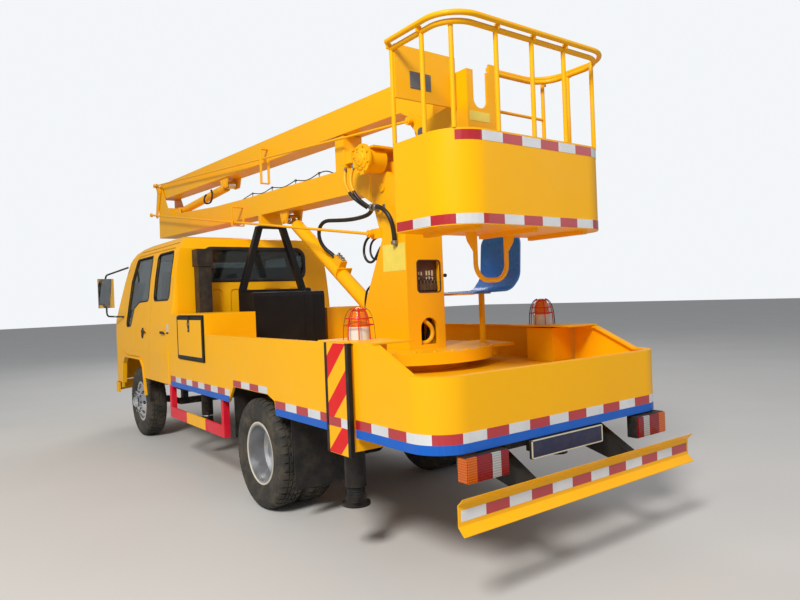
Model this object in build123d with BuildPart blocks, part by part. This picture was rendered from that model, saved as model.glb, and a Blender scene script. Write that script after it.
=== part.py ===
from build123d import *
import os
from math import atan2, cos, degrees, hypot, radians, sin

os.makedirs("parts", exist_ok=True)

# Cherry picker truck: a twin-cab light lorry with a slewing turret behind the cab, a folded
# two-piece boom and a work platform that hangs behind the turret.
# Millimetres. +X to the truck's front, +Y to its left, +Z up, Z = 0 on the ground.
# Lengths along the truck are stations, measured ahead of the rear axle.

# Driving dimensions
WHEELBASE = 3360
FRONT_REACH = 4950          # rear axle to the foremost point, the eye of the knuckle's crank
REAR_REACH = 2140           # rear axle to the back of the rear bumper
REAR_AXLE_X = (REAR_REACH - FRONT_REACH) / 2

TYRE_R, TYRE_W = 383, 200
RIM_FLANGE_R, RIM_SEAT_R, RIM_HALF_W, RIM_T = 218, 203, 78, 9
FRONT_TRACK, REAR_TRACK, TWIN_SPACING = 1490, 1425, 226
DISC_OFFSET = 104           # wheel centre to the mounting face of its disc
HUB_Z = TYRE_R

FRAME_REAR, FRAME_FRONT = -1760, 4180
RAIL_IN, RAIL_OUT, RAIL_Z0, RAIL_Z1, RAIL_T = 310, 375, 530, 710, 8

CAB_REAR, CAB_FRONT, CAB_HALF, CAB_WALL = 1985, 4350, 900, 35
CAB_SILL, CAB_BELT, CAB_ROOF = 680, 975, 2140
CAB_FLOOR, CAB_FLOOR_T = 930, 50
DOOR_GAP = 6
DOOR_FRONT_X, DOOR_MID_X, DOOR_REAR_X = 3790, 2720, 2045
ARCH_Z = 870

BODY_FRONT, BODY_REAR, BODY_HALF, BODY_T = 1930, -1973, 923, 20
BODY_BOTTOM, BODY_TOP, TAIL_TOP, BODY_CORNER_R = 690, 1190, 1055, 200
DECK_Z, DECK_T = 950, 25

TURRET_X, TURNTABLE_R, TURNTABLE_Z0, TURNTABLE_Z1 = -550, 600, 1003, 1080
TURRET_HALF, TURRET_T, TURRET_REAR = 160, 25, -790

# Boom pivots, as (station, height)
ROOT = (-550, 2200)         # lower arm on the turret
KNUCKLE = (4790, 3000)      # upper arm on the lower arm
TIP = (-950, 2500)          # platform on the upper arm
LIFT_FOOT, LIFT_EYE = (-300, 1240), (1150, 2190)
FOLD_FOOT, FOLD_EYE = (4150, 2665), (2560, 2735)
TIE_LINK = (120, -310)      # root to the lower tie rod's pin, and knuckle to the crank's pin
TOP_LINK = (83, 87)         # knuckle to the upper tie rod's pin, and tip to the platform's pin
LOWER_HALF, LOWER_H, UPPER_HALF, UPPER_H, ARM_T = 110, 200, 95, 205, 7
CRANK_Y, UPPER_TIE_Y, LOWER_TIE_Y = (116, 134), (140, 166), (190, 216)
EAR_IN, EAR_OUT, EYE_HALF = 62, 80, 38
PIN_R, PIN_FIT, RUN_GAP = 30, 0.05, 6
HUB_DRUM_R, HUB_DRUM_HALF = 70, 78

PLATFORM_FRONT, PLATFORM_REAR, PLATFORM_Y, PLATFORM_HALF = -1268, -1800, -50, 645
PLATFORM_Z0, PLATFORM_Z1, RAIL_TOP_Z, PLATFORM_R, PLATFORM_T = 1795, 2296, 2885, 225, 12

OUTRIGGER_X0, OUTRIGGER_X1, JACK_BOX_IN = -1290, -1050, BODY_HALF - 233
BEAM_Z0, BEAM_Z1, BEAM_W, BEAM_GAP = 735, 885, 90, 6
JACK_X, JACK_Y, JACK_BARREL_R, JACK_ROD_R, JACK_FOOT_R = -1150, BODY_HALF - 78, 60, 38, 80
FOOT_Z0, JACK_BARREL_Z = 285, 390
FRONT_JACK_X, FRONT_JACK_Y = 1770, 640


def side(y):
    """The upright plane at one Y: its local x is the station, its local y the height."""
    return Plane(origin=(REAR_AXLE_X, y, 0), x_dir=(1, 0, 0), z_dir=(0, -1, 0))


def across(x):
    """The upright plane at one station: its local x is Y, its local y the height."""
    return Plane(origin=(REAR_AXLE_X + x, 0, 0), x_dir=(0, 1, 0), z_dir=(1, 0, 0))


def plan(z):
    """The level plane at one height: its local x is the station, its local y is Y."""
    return Plane(origin=(REAR_AXLE_X, 0, z))


def at(x, y, z):
    return Vector(REAR_AXLE_X + x, y, z)


def slab(x, y, z, mode=Mode.ADD):
    """A box between two stations, two Y values and two heights."""
    centre = at(sum(x) / 2, sum(y) / 2, sum(z) / 2)
    with Locations(centre):
        Box(abs(x[1] - x[0]), abs(y[1] - y[0]), abs(z[1] - z[0]), mode=mode)


def slice_side(points, y, mode=Mode.ADD):
    """A prism whose side view is an outline of (station, height), between two Y values."""
    with BuildSketch(side(max(y))) as outline:
        Polygon(*points)
    extrude(outline.sketch, amount=abs(y[1] - y[0]), mode=mode)


def slice_plan(points, z, mode=Mode.ADD):
    """A prism whose plan view is an outline of (station, Y), between two heights."""
    with BuildSketch(plan(min(z))) as outline:
        Polygon(*points)
    extrude(outline.sketch, amount=abs(z[1] - z[0]), mode=mode)


def slice_across(points, x, mode=Mode.ADD):
    """A prism whose front view is an outline of (Y, height), between two stations."""
    with BuildSketch(across(min(x))) as outline:
        Polygon(*points)
    extrude(outline.sketch, amount=abs(x[1] - x[0]), mode=mode)


def bar(a, b, r, mode=Mode.ADD):
    """A round bar between two points, each a station, a Y and a height."""
    start, end = at(*a), at(*b)
    with BuildSketch(Plane(origin=start, z_dir=end - start)) as section:
        Circle(r)
    extrude(section.sketch, amount=(end - start).length, mode=mode)


def pin(point, y, r, mode=Mode.ADD):
    """A lateral pin or bore at (station, height), between two Y values."""
    bar((point[0], min(y), point[1]), (point[0], max(y), point[1]), r, mode)


def pipe(points, r, bend):
    """A round tube along a bent path of points."""
    with BuildLine() as path:
        FilletPolyline(*[at(*p) for p in points], radius=bend)
    with BuildSketch(Plane(origin=path.line @ 0, z_dir=path.line % 0)) as section:
        Circle(r)
    sweep(section.sketch, path=path.line)


def turned(profile, x, y, z):
    """A body turned about a lateral axis, from an outline of (radius, Y from the centre)."""
    with BuildSketch(Plane(origin=at(x, y, z), x_dir=(1, 0, 0), z_dir=(0, 0, 1))) as outline:
        Polygon(*profile)
    revolve(outline.sketch, axis=Axis(at(x, y, z), (0, 1, 0)))


def turned_up(profile, x, y):
    """A body turned about an upright axis, from an outline of (radius, height)."""
    with BuildSketch(Plane(origin=at(x, y, 0), x_dir=(1, 0, 0), z_dir=(0, -1, 0))) as outline:
        Polygon(*profile)
    revolve(outline.sketch, axis=Axis(at(x, y, 0), (0, 0, 1)))


def rounded_across(centre, size, r, x, mode=Mode.ADD):
    """A block with rounded corners seen from the front, between two stations."""
    with BuildSketch(across(min(x))) as outline:
        with Locations(centre):
            RectangleRounded(size[0], size[1], r)
    extrude(outline.sketch, amount=abs(x[1] - x[0]), mode=mode)


def offset_point(point, link):
    return (point[0] + link[0], point[1] + link[1])


def save(piece, name):
    piece.part.label = name
    export_step(piece.part, f"parts/{name}.step")


SIDES = (("left", 1), ("right", -1))

# Chassis frame: two channel rails, cross members, the silencer and the engine's bearers
CROSS_MEMBERS = (-1700, -700, 650, 1500, 4080)
with BuildPart() as chassis_frame:
    for tag, s in SIDES:
        rail = [(s * RAIL_OUT, RAIL_Z0), (s * RAIL_OUT, RAIL_Z1), (s * RAIL_IN, RAIL_Z1),
                (s * RAIL_IN, RAIL_Z1 - RAIL_T), (s * (RAIL_OUT - RAIL_T), RAIL_Z1 - RAIL_T),
                (s * (RAIL_OUT - RAIL_T), RAIL_Z0 + RAIL_T), (s * RAIL_IN, RAIL_Z0 + RAIL_T),
                (s * RAIL_IN, RAIL_Z0)]
        slice_across(rail, (FRAME_REAR, FRAME_FRONT))
    for x in CROSS_MEMBERS:
        slab((x, x + 60), (-RAIL_OUT + RAIL_T, RAIL_OUT - RAIL_T), (RAIL_Z0 + 40, RAIL_Z1 - 30))
save(chassis_frame, "chassis_frame")

# Axles: beams with spring packs under the rails
SPRING_HALF, SPRING_END_Z, SPRING_MID_Z, SPRING_T = 560, 490, 452, 34


def spring_pack(x, y):
    """One leaf spring: a shallow arc under the rail, with its eyes and hangers."""
    with BuildSketch(side(y + 35)) as leaves:
        with BuildLine():
            low = ThreePointArc((x - SPRING_HALF, SPRING_END_Z), (x, SPRING_MID_Z),
                                (x + SPRING_HALF, SPRING_END_Z))
            high = ThreePointArc((x - SPRING_HALF, SPRING_END_Z + 12), (x, SPRING_MID_Z + SPRING_T),
                                 (x + SPRING_HALF, SPRING_END_Z + 12))
            Line(low @ 0, high @ 0)
            Line(low @ 1, high @ 1)
        make_face()
    extrude(leaves.sketch, amount=70)
    for end in (-1, 1):
        slab((x + end * SPRING_HALF - 22, x + end * SPRING_HALF + 22), (y - 30, y + 30),
             (SPRING_END_Z - 14, RAIL_Z0))


with BuildPart() as rear_axle:
    half = REAR_TRACK / 2 - 30
    bar((0, -half, HUB_Z), (0, half, HUB_Z), 52)
    turned([(0, -150), (60, -150), (150, -60), (150, 60), (60, 150), (0, 150)], 0, 0, HUB_Z)
    for tag, s in SIDES:
        y = s * (RAIL_IN + RAIL_OUT) / 2
        spring_pack(0, y)
        slab((-50, 50), (y - 30, y + 30), (HUB_Z + 30, SPRING_MID_Z + 5))
    bar((140, 0, HUB_Z + 10), (2425, 0, 600), 38)
save(rear_axle, "rear_axle")

KING_Y, KING_R, KNUCKLE_EAR_R = 620, 16, 38
BOSS_Z0, BOSS_Z1 = HUB_Z - 45, HUB_Z + 45
with BuildPart() as front_axle:
    beam = [(-KING_Y, HUB_Z - 35), (-KING_Y, HUB_Z + 35), (-480, HUB_Z + 20), (-400, HUB_Z - 20),
            (400, HUB_Z - 20), (480, HUB_Z + 20), (KING_Y, HUB_Z + 35), (KING_Y, HUB_Z - 35),
            (500, HUB_Z - 50), (400, HUB_Z - 90), (-400, HUB_Z - 90), (-500, HUB_Z - 50)]
    slice_across(beam, (WHEELBASE - 32, WHEELBASE + 32))
    for tag, s in SIDES:
        king = (WHEELBASE, s * KING_Y)
        bar((*king, BOSS_Z0), (*king, BOSS_Z1), KNUCKLE_EAR_R)
        bar((*king, BOSS_Z0), (*king, BOSS_Z1), KING_R + PIN_FIT, mode=Mode.SUBTRACT)
        y = s * (RAIL_IN + RAIL_OUT) / 2
        spring_pack(WHEELBASE, y)
        slab((WHEELBASE - 45, WHEELBASE + 45), (y - 30, y + 30), (HUB_Z - 30, SPRING_MID_Z + 5))
save(front_axle, "front_axle")

SPINDLE_R, EAR_T = 30, 24
for tag, s in SIDES:
    with BuildPart() as knuckle:
        king = (WHEELBASE, s * KING_Y)
        for z in (BOSS_Z0 - 6 - EAR_T, BOSS_Z1 + 6):
            bar((*king, z), (*king, z + EAR_T), KNUCKLE_EAR_R)
            slab((WHEELBASE - 32, WHEELBASE + 32), (s * KING_Y, s * (KING_Y + 72)), (z, z + EAR_T))
        bar((*king, BOSS_Z0 - 10), (*king, BOSS_Z1 + 10), KING_R)
        slab((WHEELBASE - 32, WHEELBASE + 32), (s * (KING_Y + 48), s * (KING_Y + 72)),
             (BOSS_Z0 - 6 - EAR_T, BOSS_Z1 + 6 + EAR_T))
        bar((WHEELBASE, s * (KING_Y + 60), HUB_Z), (WHEELBASE, s * (FRONT_TRACK / 2 + DISC_OFFSET), HUB_Z),
            SPINDLE_R)
    save(knuckle, f"knuckle_{tag}")

# Wheels. Each tyre is turned from one outline; a rim is a barrel, flanges and a dished disc.
TYRE_OUTLINE = [(RIM_SEAT_R, -RIM_HALF_W + 8), (RIM_FLANGE_R + 1, -RIM_HALF_W + 8),
                (RIM_FLANGE_R + 3, -RIM_HALF_W - 2), (RIM_FLANGE_R + 40, -TYRE_W / 2 + 6), (300, -TYRE_W / 2), (345, -TYRE_W / 2 + 5),
                (372, -TYRE_W / 2 + 20), (TYRE_R, -TYRE_W / 2 + 40)]
TYRE_OUTLINE = TYRE_OUTLINE + [(r, -y) for r, y in reversed(TYRE_OUTLINE)]
HAND_HOLES, HAND_HOLE_R, HAND_HOLE_PCR = 8, 19, 150
STUD_HOLES = 6


def rim(x, y, out, hub_r):
    """A rim whose disc is dished towards out, 1 for +Y and -1 for -Y, round a hub's bore."""
    f, w = RIM_FLANGE_R, RIM_HALF_W
    seat, t = RIM_SEAT_R - 0.5, RIM_T
    barrel = [(seat - t, -w), (f, -w), (f, -w + 7), (seat, -w + 7), (seat, w - 7), (f, w - 7),
              (f, w), (seat - t, w)]
    turned(barrel, x, y, HUB_Z)
    face = out * DISC_OFFSET
    disc = [(hub_r, face), (128, face), (176, face - out * 30), (seat - 1, face - out * 62),
            (seat - 1, face - out * 74), (172, face - out * 42), (124, face - out * 12),
            (hub_r, face - out * 12)]
    turned(disc, x, y, HUB_Z)
    with BuildSketch(Plane(origin=at(x, y + face - out * 50, HUB_Z), x_dir=(1, 0, 0), z_dir=(0, out, 0))) as holes:
        with PolarLocations(HAND_HOLE_PCR, HAND_HOLES):
            Circle(HAND_HOLE_R)
    extrude(holes.sketch, amount=60, mode=Mode.SUBTRACT)


for tag, s in SIDES:
    y = s * FRONT_TRACK / 2
    with BuildPart() as tyre:
        turned(TYRE_OUTLINE, WHEELBASE, y, HUB_Z)
    save(tyre, f"front_tyre_{tag}")
    with BuildPart() as wheel:
        rim(WHEELBASE, y, s, 80)
        hub = [(SPINDLE_R + PIN_FIT, -40), (72, -40), (95, -6), (95, 4), (62, 4), (62, 30), (50, 52), (0, 52),
               (0, 2), (SPINDLE_R + PIN_FIT, 2)]
        turned([(r, s * (DISC_OFFSET + along_axle)) for r, along_axle in hub], WHEELBASE, y, HUB_Z)
    save(wheel, f"front_rim_{tag}")
    with BuildPart() as tyre:
        for lean in (-1, 1):
            turned(TYRE_OUTLINE, 0, s * REAR_TRACK / 2 + lean * TWIN_SPACING / 2, HUB_Z)
    save(tyre, f"rear_tyres_{tag}")
    with BuildPart() as wheel:
        for lean in (-1, 1):
            rim(0, s * REAR_TRACK / 2 + lean * TWIN_SPACING / 2, -lean, 70)
        turned([(0, -22), (110, -22), (110, 22), (88, 40), (72, 100), (0, 110)]
               if s > 0 else [(0, 22), (110, 22), (110, -22), (88, -40), (72, -100), (0, -110)],
               0, s * REAR_TRACK / 2, HUB_Z)
    save(wheel, f"rear_rims_{tag}")

# Engine: one plain block between the rails, with the gearbox behind it
with BuildPart() as engine_block:
    slab((2620, 3440), (-285, 285), (500, 900))
    slab((2440, 2620), (-150, 150), (540, 760))
save(engine_block, "engine_block")

# Cab. Three outlines, seen from the side, the front and above, meet in one rounded volume.
CAB_SIDE = [(CAB_REAR, 560), (CAB_REAR, 1985), (CAB_REAR + 70, 2090), (CAB_REAR + 330, 2130),
            (3050, CAB_ROOF), (3540, 2095), (3730, 1995), (4170, 1290), (4315, 1190),
            (CAB_FRONT, 930), (CAB_FRONT, 560)]
CAB_SECTION = [(CAB_HALF, 560), (CAB_HALF, CAB_BELT), (880, 1230), (856, 1450), (822, 1720),
               (782, 1950), (735, 2050), (650, 2118), (480, CAB_ROOF + 5)]
CAB_FRONT_R, CAB_REAR_R = 300, 100


def cab_volume(inset, bottom):
    """The cab's solid outline, drawn in by a wall's thickness and open below a height."""
    with BuildPart() as volume:
        with BuildSketch(side(0)):
            Polygon(*[(x, bottom if z == 560 else z) for x, z in CAB_SIDE])
            offset(amount=-inset, kind=Kind.INTERSECTION) if inset else None
        extrude(amount=CAB_HALF + 50, both=True)
        half = [(y, bottom - 50 if z == 560 else z) for y, z in CAB_SECTION]
        with BuildSketch(across(CAB_REAR - 50)):
            Polygon(*half, *[(-y, z) for y, z in reversed(half)])
            offset(amount=-inset, kind=Kind.INTERSECTION) if inset else None
        extrude(amount=CAB_FRONT - CAB_REAR + 100, mode=Mode.INTERSECT)
        with BuildSketch(plan(bottom - 100)):
            with BuildLine():
                FilletPolyline((CAB_REAR, -CAB_HALF), (CAB_FRONT, -CAB_HALF), (CAB_FRONT, CAB_HALF),
                               (CAB_REAR, CAB_HALF),
                               radius=[CAB_REAR_R, CAB_FRONT_R, CAB_FRONT_R, CAB_REAR_R], close=True)
            make_face()
            offset(amount=-inset) if inset else None
        extrude(amount=2000, mode=Mode.INTERSECT)
    return volume.part


# Doors and windows as side outlines. Tables: name, outline of (station, height)
DOOR_FRONT = [(DOOR_FRONT_X, CAB_SILL + 250), (DOOR_FRONT_X, 1290), (3560, 1960), (3400, 2050),
              (DOOR_MID_X, 2050), (DOOR_MID_X, CAB_SILL), (2880, CAB_SILL), (2960, 860), (3070, CAB_SILL + 215),
              (3600, CAB_SILL + 215)]
DOOR_REAR = [(DOOR_MID_X, CAB_SILL), (DOOR_MID_X, 2050), (DOOR_REAR_X + 30, 2050), (DOOR_REAR_X, 2000),
             (DOOR_REAR_X, CAB_SILL)]
WINDOW_FRONT = [(3670, 1215), (3570, 1730), (3435, 1972), (2830, 1972), (2830, 1500), (3180, 1490), (3370, 1425),
                (3470, 1230)]
WINDOW_REAR = [(2640, 1495), (2640, 1972), (2120, 1972), (2120, 1495)]
WINDSCREEN = [(-730, 1340), (730, 1340), (640, 1960), (-640, 1960)]
REAR_WINDOW = [(-550, 1670), (550, 1670), (550, 1985), (-550, 1985)]
ARCH = [(2890, 500), (2960, 800), (3050, ARCH_Z), (3660, ARCH_Z), (3760, 800), (3830, 500)]
GLASS_T = 6
CAB_SIDE_BAND = (560, CAB_HALF + 60)


def cut_window(outline, corner, y):
    """Cuts a window with rounded corners through a side wall."""
    with BuildSketch(side(max(y))) as opening:
        with BuildLine():
            FilletPolyline(*outline, radius=corner, close=True)
        make_face()
    extrude(opening.sketch, amount=abs(y[1] - y[0]), mode=Mode.SUBTRACT)


LAMP_Y, LAMP_Z, LAMP_SIZE, LAMP_DEPTH, LAMP_GAP = 655, 850, (270, 165), 22, 3
GRILLE_SLOTS, GRILLE_Z, GRILLE_PITCH, GRILLE_SIZE = 4, 1000, 42, (900, 22)
REAR_RECESS_Y, REAR_RECESS_SIZE, REAR_RECESS_Z = (-465, -175, 175, 465), (210, 500), 1330
HANDLE_Z, HANDLE_SIZE = 1165, (130, 26)
cab_outer = cab_volume(0, 560)
lamp_face = cab_volume(LAMP_GAP, 560)
lamp_floor = cab_volume(LAMP_DEPTH, 300)
cab_inner = cab_volume(CAB_WALL, 300)
cab_middle = cab_volume(CAB_WALL / 2, 300)
with BuildPart() as floor_pan:
    add(cab_middle)
    slab((CAB_REAR, CAB_FRONT), (-CAB_HALF, CAB_HALF), (CAB_FLOOR, CAB_FLOOR + CAB_FLOOR_T),
         mode=Mode.INTERSECT)
with BuildPart() as cab_body:
    add(cab_outer)
    add(cab_inner, mode=Mode.SUBTRACT)
    add(floor_pan.part)
    slice_side(ARCH, (-CAB_HALF - 50, CAB_HALF + 50), mode=Mode.SUBTRACT)
    slab((CAB_REAR - 10, CAB_REAR + 60), (-CAB_HALF - 10, CAB_HALF + 10), (500, CAB_SILL + 35),
         mode=Mode.SUBTRACT)
    slab((CAB_REAR - 10, 2950), (-CAB_HALF - 10, CAB_HALF + 10), (500, CAB_SILL), mode=Mode.SUBTRACT)

# pockets of the headlamps and the grille's slots, no deeper than the lamps
with BuildPart() as front_pockets:
    for tag, s in SIDES:
        rounded_across((s * LAMP_Y, LAMP_Z), LAMP_SIZE, 45, (4000, CAB_FRONT + 10))
    for i in range(GRILLE_SLOTS):
        rounded_across((0, GRILLE_Z + i * GRILLE_PITCH), GRILLE_SIZE, 10, (4000, CAB_FRONT + 10))
    add(cab_outer, mode=Mode.INTERSECT)
    add(lamp_floor, mode=Mode.SUBTRACT)

with BuildPart() as headlamps:
    for tag, s in SIDES:
        size = (LAMP_SIZE[0] - 2 * LAMP_GAP, LAMP_SIZE[1] - 2 * LAMP_GAP)
        rounded_across((s * LAMP_Y, LAMP_Z), size, 45 - LAMP_GAP, (4000, CAB_FRONT + 10))
    add(lamp_face, mode=Mode.INTERSECT)
    add(lamp_floor, mode=Mode.SUBTRACT)
save(headlamps, "headlamps")

with BuildPart() as cab_shell:
    add(cab_body.part)
    add(front_pockets.part, mode=Mode.SUBTRACT)
    for y in REAR_RECESS_Y:
        rounded_across((y, REAR_RECESS_Z), REAR_RECESS_SIZE, 40, (CAB_REAR - 5, CAB_REAR + 8), mode=Mode.SUBTRACT)
    # flares round the wheel arches
    for tag, s in SIDES:
        band = (s * (CAB_HALF - 12), s * (CAB_HALF + 12))
        slice_side([(2862, 505), (2938, 815), (3042, ARCH_Z + 22), (3668, ARCH_Z + 22), (3782, 815), (3858, 505)], band)
        slice_side(ARCH, band, mode=Mode.SUBTRACT)
    for tag, s in SIDES:
        band = (s * CAB_SIDE_BAND[0], s * CAB_SIDE_BAND[1])
        for outline in (DOOR_FRONT, DOOR_REAR):
            slice_side(outline, band, mode=Mode.SUBTRACT)
    with BuildSketch(across(CAB_FRONT + 50)):
        Polygon(*WINDSCREEN)
    extrude(amount=-900, mode=Mode.SUBTRACT)
    with BuildSketch(across(CAB_REAR - 50)):
        with BuildLine():
            FilletPolyline(*REAR_WINDOW, radius=90, close=True)
        make_face()
    extrude(amount=150, mode=Mode.SUBTRACT)
save(cab_shell, "cab_shell")

# Fixed glass: thin slices of the cab's own volume, inside the openings
glass_outer = cab_volume(12, 560)
glass_inner = cab_volume(12 + GLASS_T, 300)
with BuildPart() as glass_skin:
    add(glass_outer)
    add(glass_inner, mode=Mode.SUBTRACT)
with BuildPart() as glass_openings:
    slice_across([(y * 0.994, z + (3 if z < 1500 else -3)) for y, z in WINDSCREEN], (3650, CAB_FRONT + 50))
    with BuildSketch(across(CAB_REAR - 50)):
        with BuildLine():
            FilletPolyline(*[(y * 0.994, z + (3 if z < 1800 else -3)) for y, z in REAR_WINDOW],
                           radius=88, close=True)
        make_face()
    extrude(amount=150)
with BuildPart() as cab_glass:
    add(glass_skin.part)
    add(glass_openings.part, mode=Mode.INTERSECT)
save(cab_glass, "cab_glass")

# Doors: the cab's own wall inside each outline, with the window cut and its pane set in
DOORS = (("door_front", DOOR_FRONT, WINDOW_FRONT, 45), ("door_rear", DOOR_REAR, WINDOW_REAR, 60))
for name, outline, window, corner in DOORS:
    band = CAB_SIDE_BAND
    with BuildPart() as window_prism:
        slice_side(window, band)
    with BuildPart() as pane:
        add(glass_skin.part)
        add(window_prism.part, mode=Mode.INTERSECT)
    with BuildPart() as leaf:
        with BuildSketch(side(band[1])):
            Polygon(*outline)
            offset(amount=-DOOR_GAP, kind=Kind.INTERSECTION)
        extrude(amount=band[1] - band[0])
    with BuildPart() as door_left:
        add(cab_body.part)
        add(leaf.part, mode=Mode.INTERSECT)
        slab((CAB_REAR, CAB_FRONT), (0, CAB_HALF - CAB_WALL - 1), (CAB_FLOOR - 10, CAB_FLOOR + CAB_FLOOR_T + 10),
             mode=Mode.SUBTRACT)
        cut_window(window, corner, band)
        add(pane.part)
        handle_x = min(x for x, z in outline) + 120
        slab((handle_x, handle_x + HANDLE_SIZE[0]), (CAB_HALF - 40, CAB_HALF + 4),
             (HANDLE_Z, HANDLE_Z + HANDLE_SIZE[1]))
    save(door_left, f"{name}_left")
    with BuildPart() as door_right:
        mirror(door_left.part, about=Plane.XZ)
    save(door_right, f"{name}_right")

# Inside of the cab: two seat benches, the dash and the steering wheel
with BuildPart() as cab_interior:
    floor = CAB_FLOOR + CAB_FLOOR_T
    for x in (2230, 3020):
        slab((x, x + 430), (-640, 640), (floor, floor + 330))
        slice_side([(x - 20, floor + 330), (x + 90, floor + 330), (x, floor + 830), (x - 90, floor + 820)],
                   (-640, 640))
    slice_side([(3840, floor), (4060, floor), (4060, 1270), (3840, 1210)], (-760, 760))
    bar((3850, 420, 1180), (3700, 420, 1330), 22)
    with BuildSketch(Plane(origin=at(3692, 420, 1338), z_dir=(-1, 0, 1))):
        Circle(205)
        Circle(178, mode=Mode.SUBTRACT)
        Rectangle(24, 380)
        Rectangle(380, 24)
    extrude(amount=22)
save(cab_interior, "cab_interior")

# Front: bumper with its lamps, and mirrors on arms
with BuildPart() as front_bumper:
    with BuildSketch(plan(430)):
        with BuildLine():
            FilletPolyline((CAB_FRONT - 330, -915), (CAB_FRONT + 25, -915), (CAB_FRONT + 25, 915),
                           (CAB_FRONT - 330, 915), radius=[1, 290, 290, 1], close=True)
        make_face()
        offset(amount=-25, mode=Mode.SUBTRACT)
    extrude(amount=115)
    slab((CAB_FRONT - 335, CAB_FRONT - 300), (-889, 889), (425, 550), mode=Mode.SUBTRACT)
    slab((FRAME_FRONT - 40, CAB_FRONT + 10), (-320, -250), (440, 526))
    slab((FRAME_FRONT - 40, CAB_FRONT + 10), (250, 320), (440, 526))
save(front_bumper, "front_bumper")

with BuildPart() as mirrors:
    for tag, s in SIDES:
        pipe([(3800, s * 878, 1330), (4120, s * 990, 1340), (4120, s * 990, 1830), (3700, s * 830, 1900)], 10, 50)
        slab((4095, 4145), (s * 905, s * 1075), (1440, 1790))
save(mirrors, "mirrors")

# Rear body: side panels with the wheel arch and the locker's raised front, tail panel, floor
ARCH_CUT = [(-330, 600), (-306, 780), (-200, 815), (393, 815), (578, 600)]
SLOPE_X = (-1490, -1780)
LIP_W, LIP_T = 48, 14
TOP_CUT = [(SLOPE_X[0], BODY_TOP), (SLOPE_X[1], TAIL_TOP), (BODY_REAR - 10, TAIL_TOP), (BODY_REAR - 10, 1500)]
LOCKER_TOP, LOCKER_LEFT_REAR, LOCKER_RIGHT_REAR, LOCKER_IN = 1360, 950, 1400, 480
LEDGE_IN = BODY_HALF - 273
LOCKER_DOOR = (980, 1640, 965, 1340)
BODY_Z = (BODY_BOTTOM, LOCKER_TOP)


def body_prism(inset, mode=Mode.ADD):
    """The rear body's outline seen from above, drawn in all round, as tall as its lockers."""
    x0, x1, y = BODY_REAR + inset, BODY_FRONT - inset, BODY_HALF - inset
    r = BODY_CORNER_R - inset
    with BuildSketch(plan(BODY_BOTTOM)) as outline:
        with BuildLine():
            FilletPolyline((x0, -y), (x1, -y), (x1, y), (x0, y), radius=[r, 5, 5, r], close=True)
        make_face()
    extrude(outline.sketch, amount=LOCKER_TOP - BODY_BOTTOM, mode=mode)


with BuildPart() as body_inside:
    body_prism(BODY_T)
    slab((BODY_REAR - 10, BODY_FRONT), (-BODY_HALF, BODY_HALF), (DECK_Z - DECK_T, DECK_Z),
         mode=Mode.SUBTRACT)

# folded lip along the tops of the sides, their slopes and the tail
with BuildPart() as lip_band:
    for s, rear in ((1, LOCKER_LEFT_REAR), (-1, LOCKER_RIGHT_REAR)):
        lip = [(rear + 20, BODY_TOP), (SLOPE_X[0], BODY_TOP), (SLOPE_X[1], TAIL_TOP), (BODY_REAR, TAIL_TOP)]
        slice_side(lip + [(x, z - LIP_T) for x, z in reversed(lip)], (0, s * BODY_HALF))

with BuildPart() as body_lip:
    body_prism(BODY_T / 2)
    body_prism(LIP_W, mode=Mode.SUBTRACT)
    add(lip_band.part, mode=Mode.INTERSECT)

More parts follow.
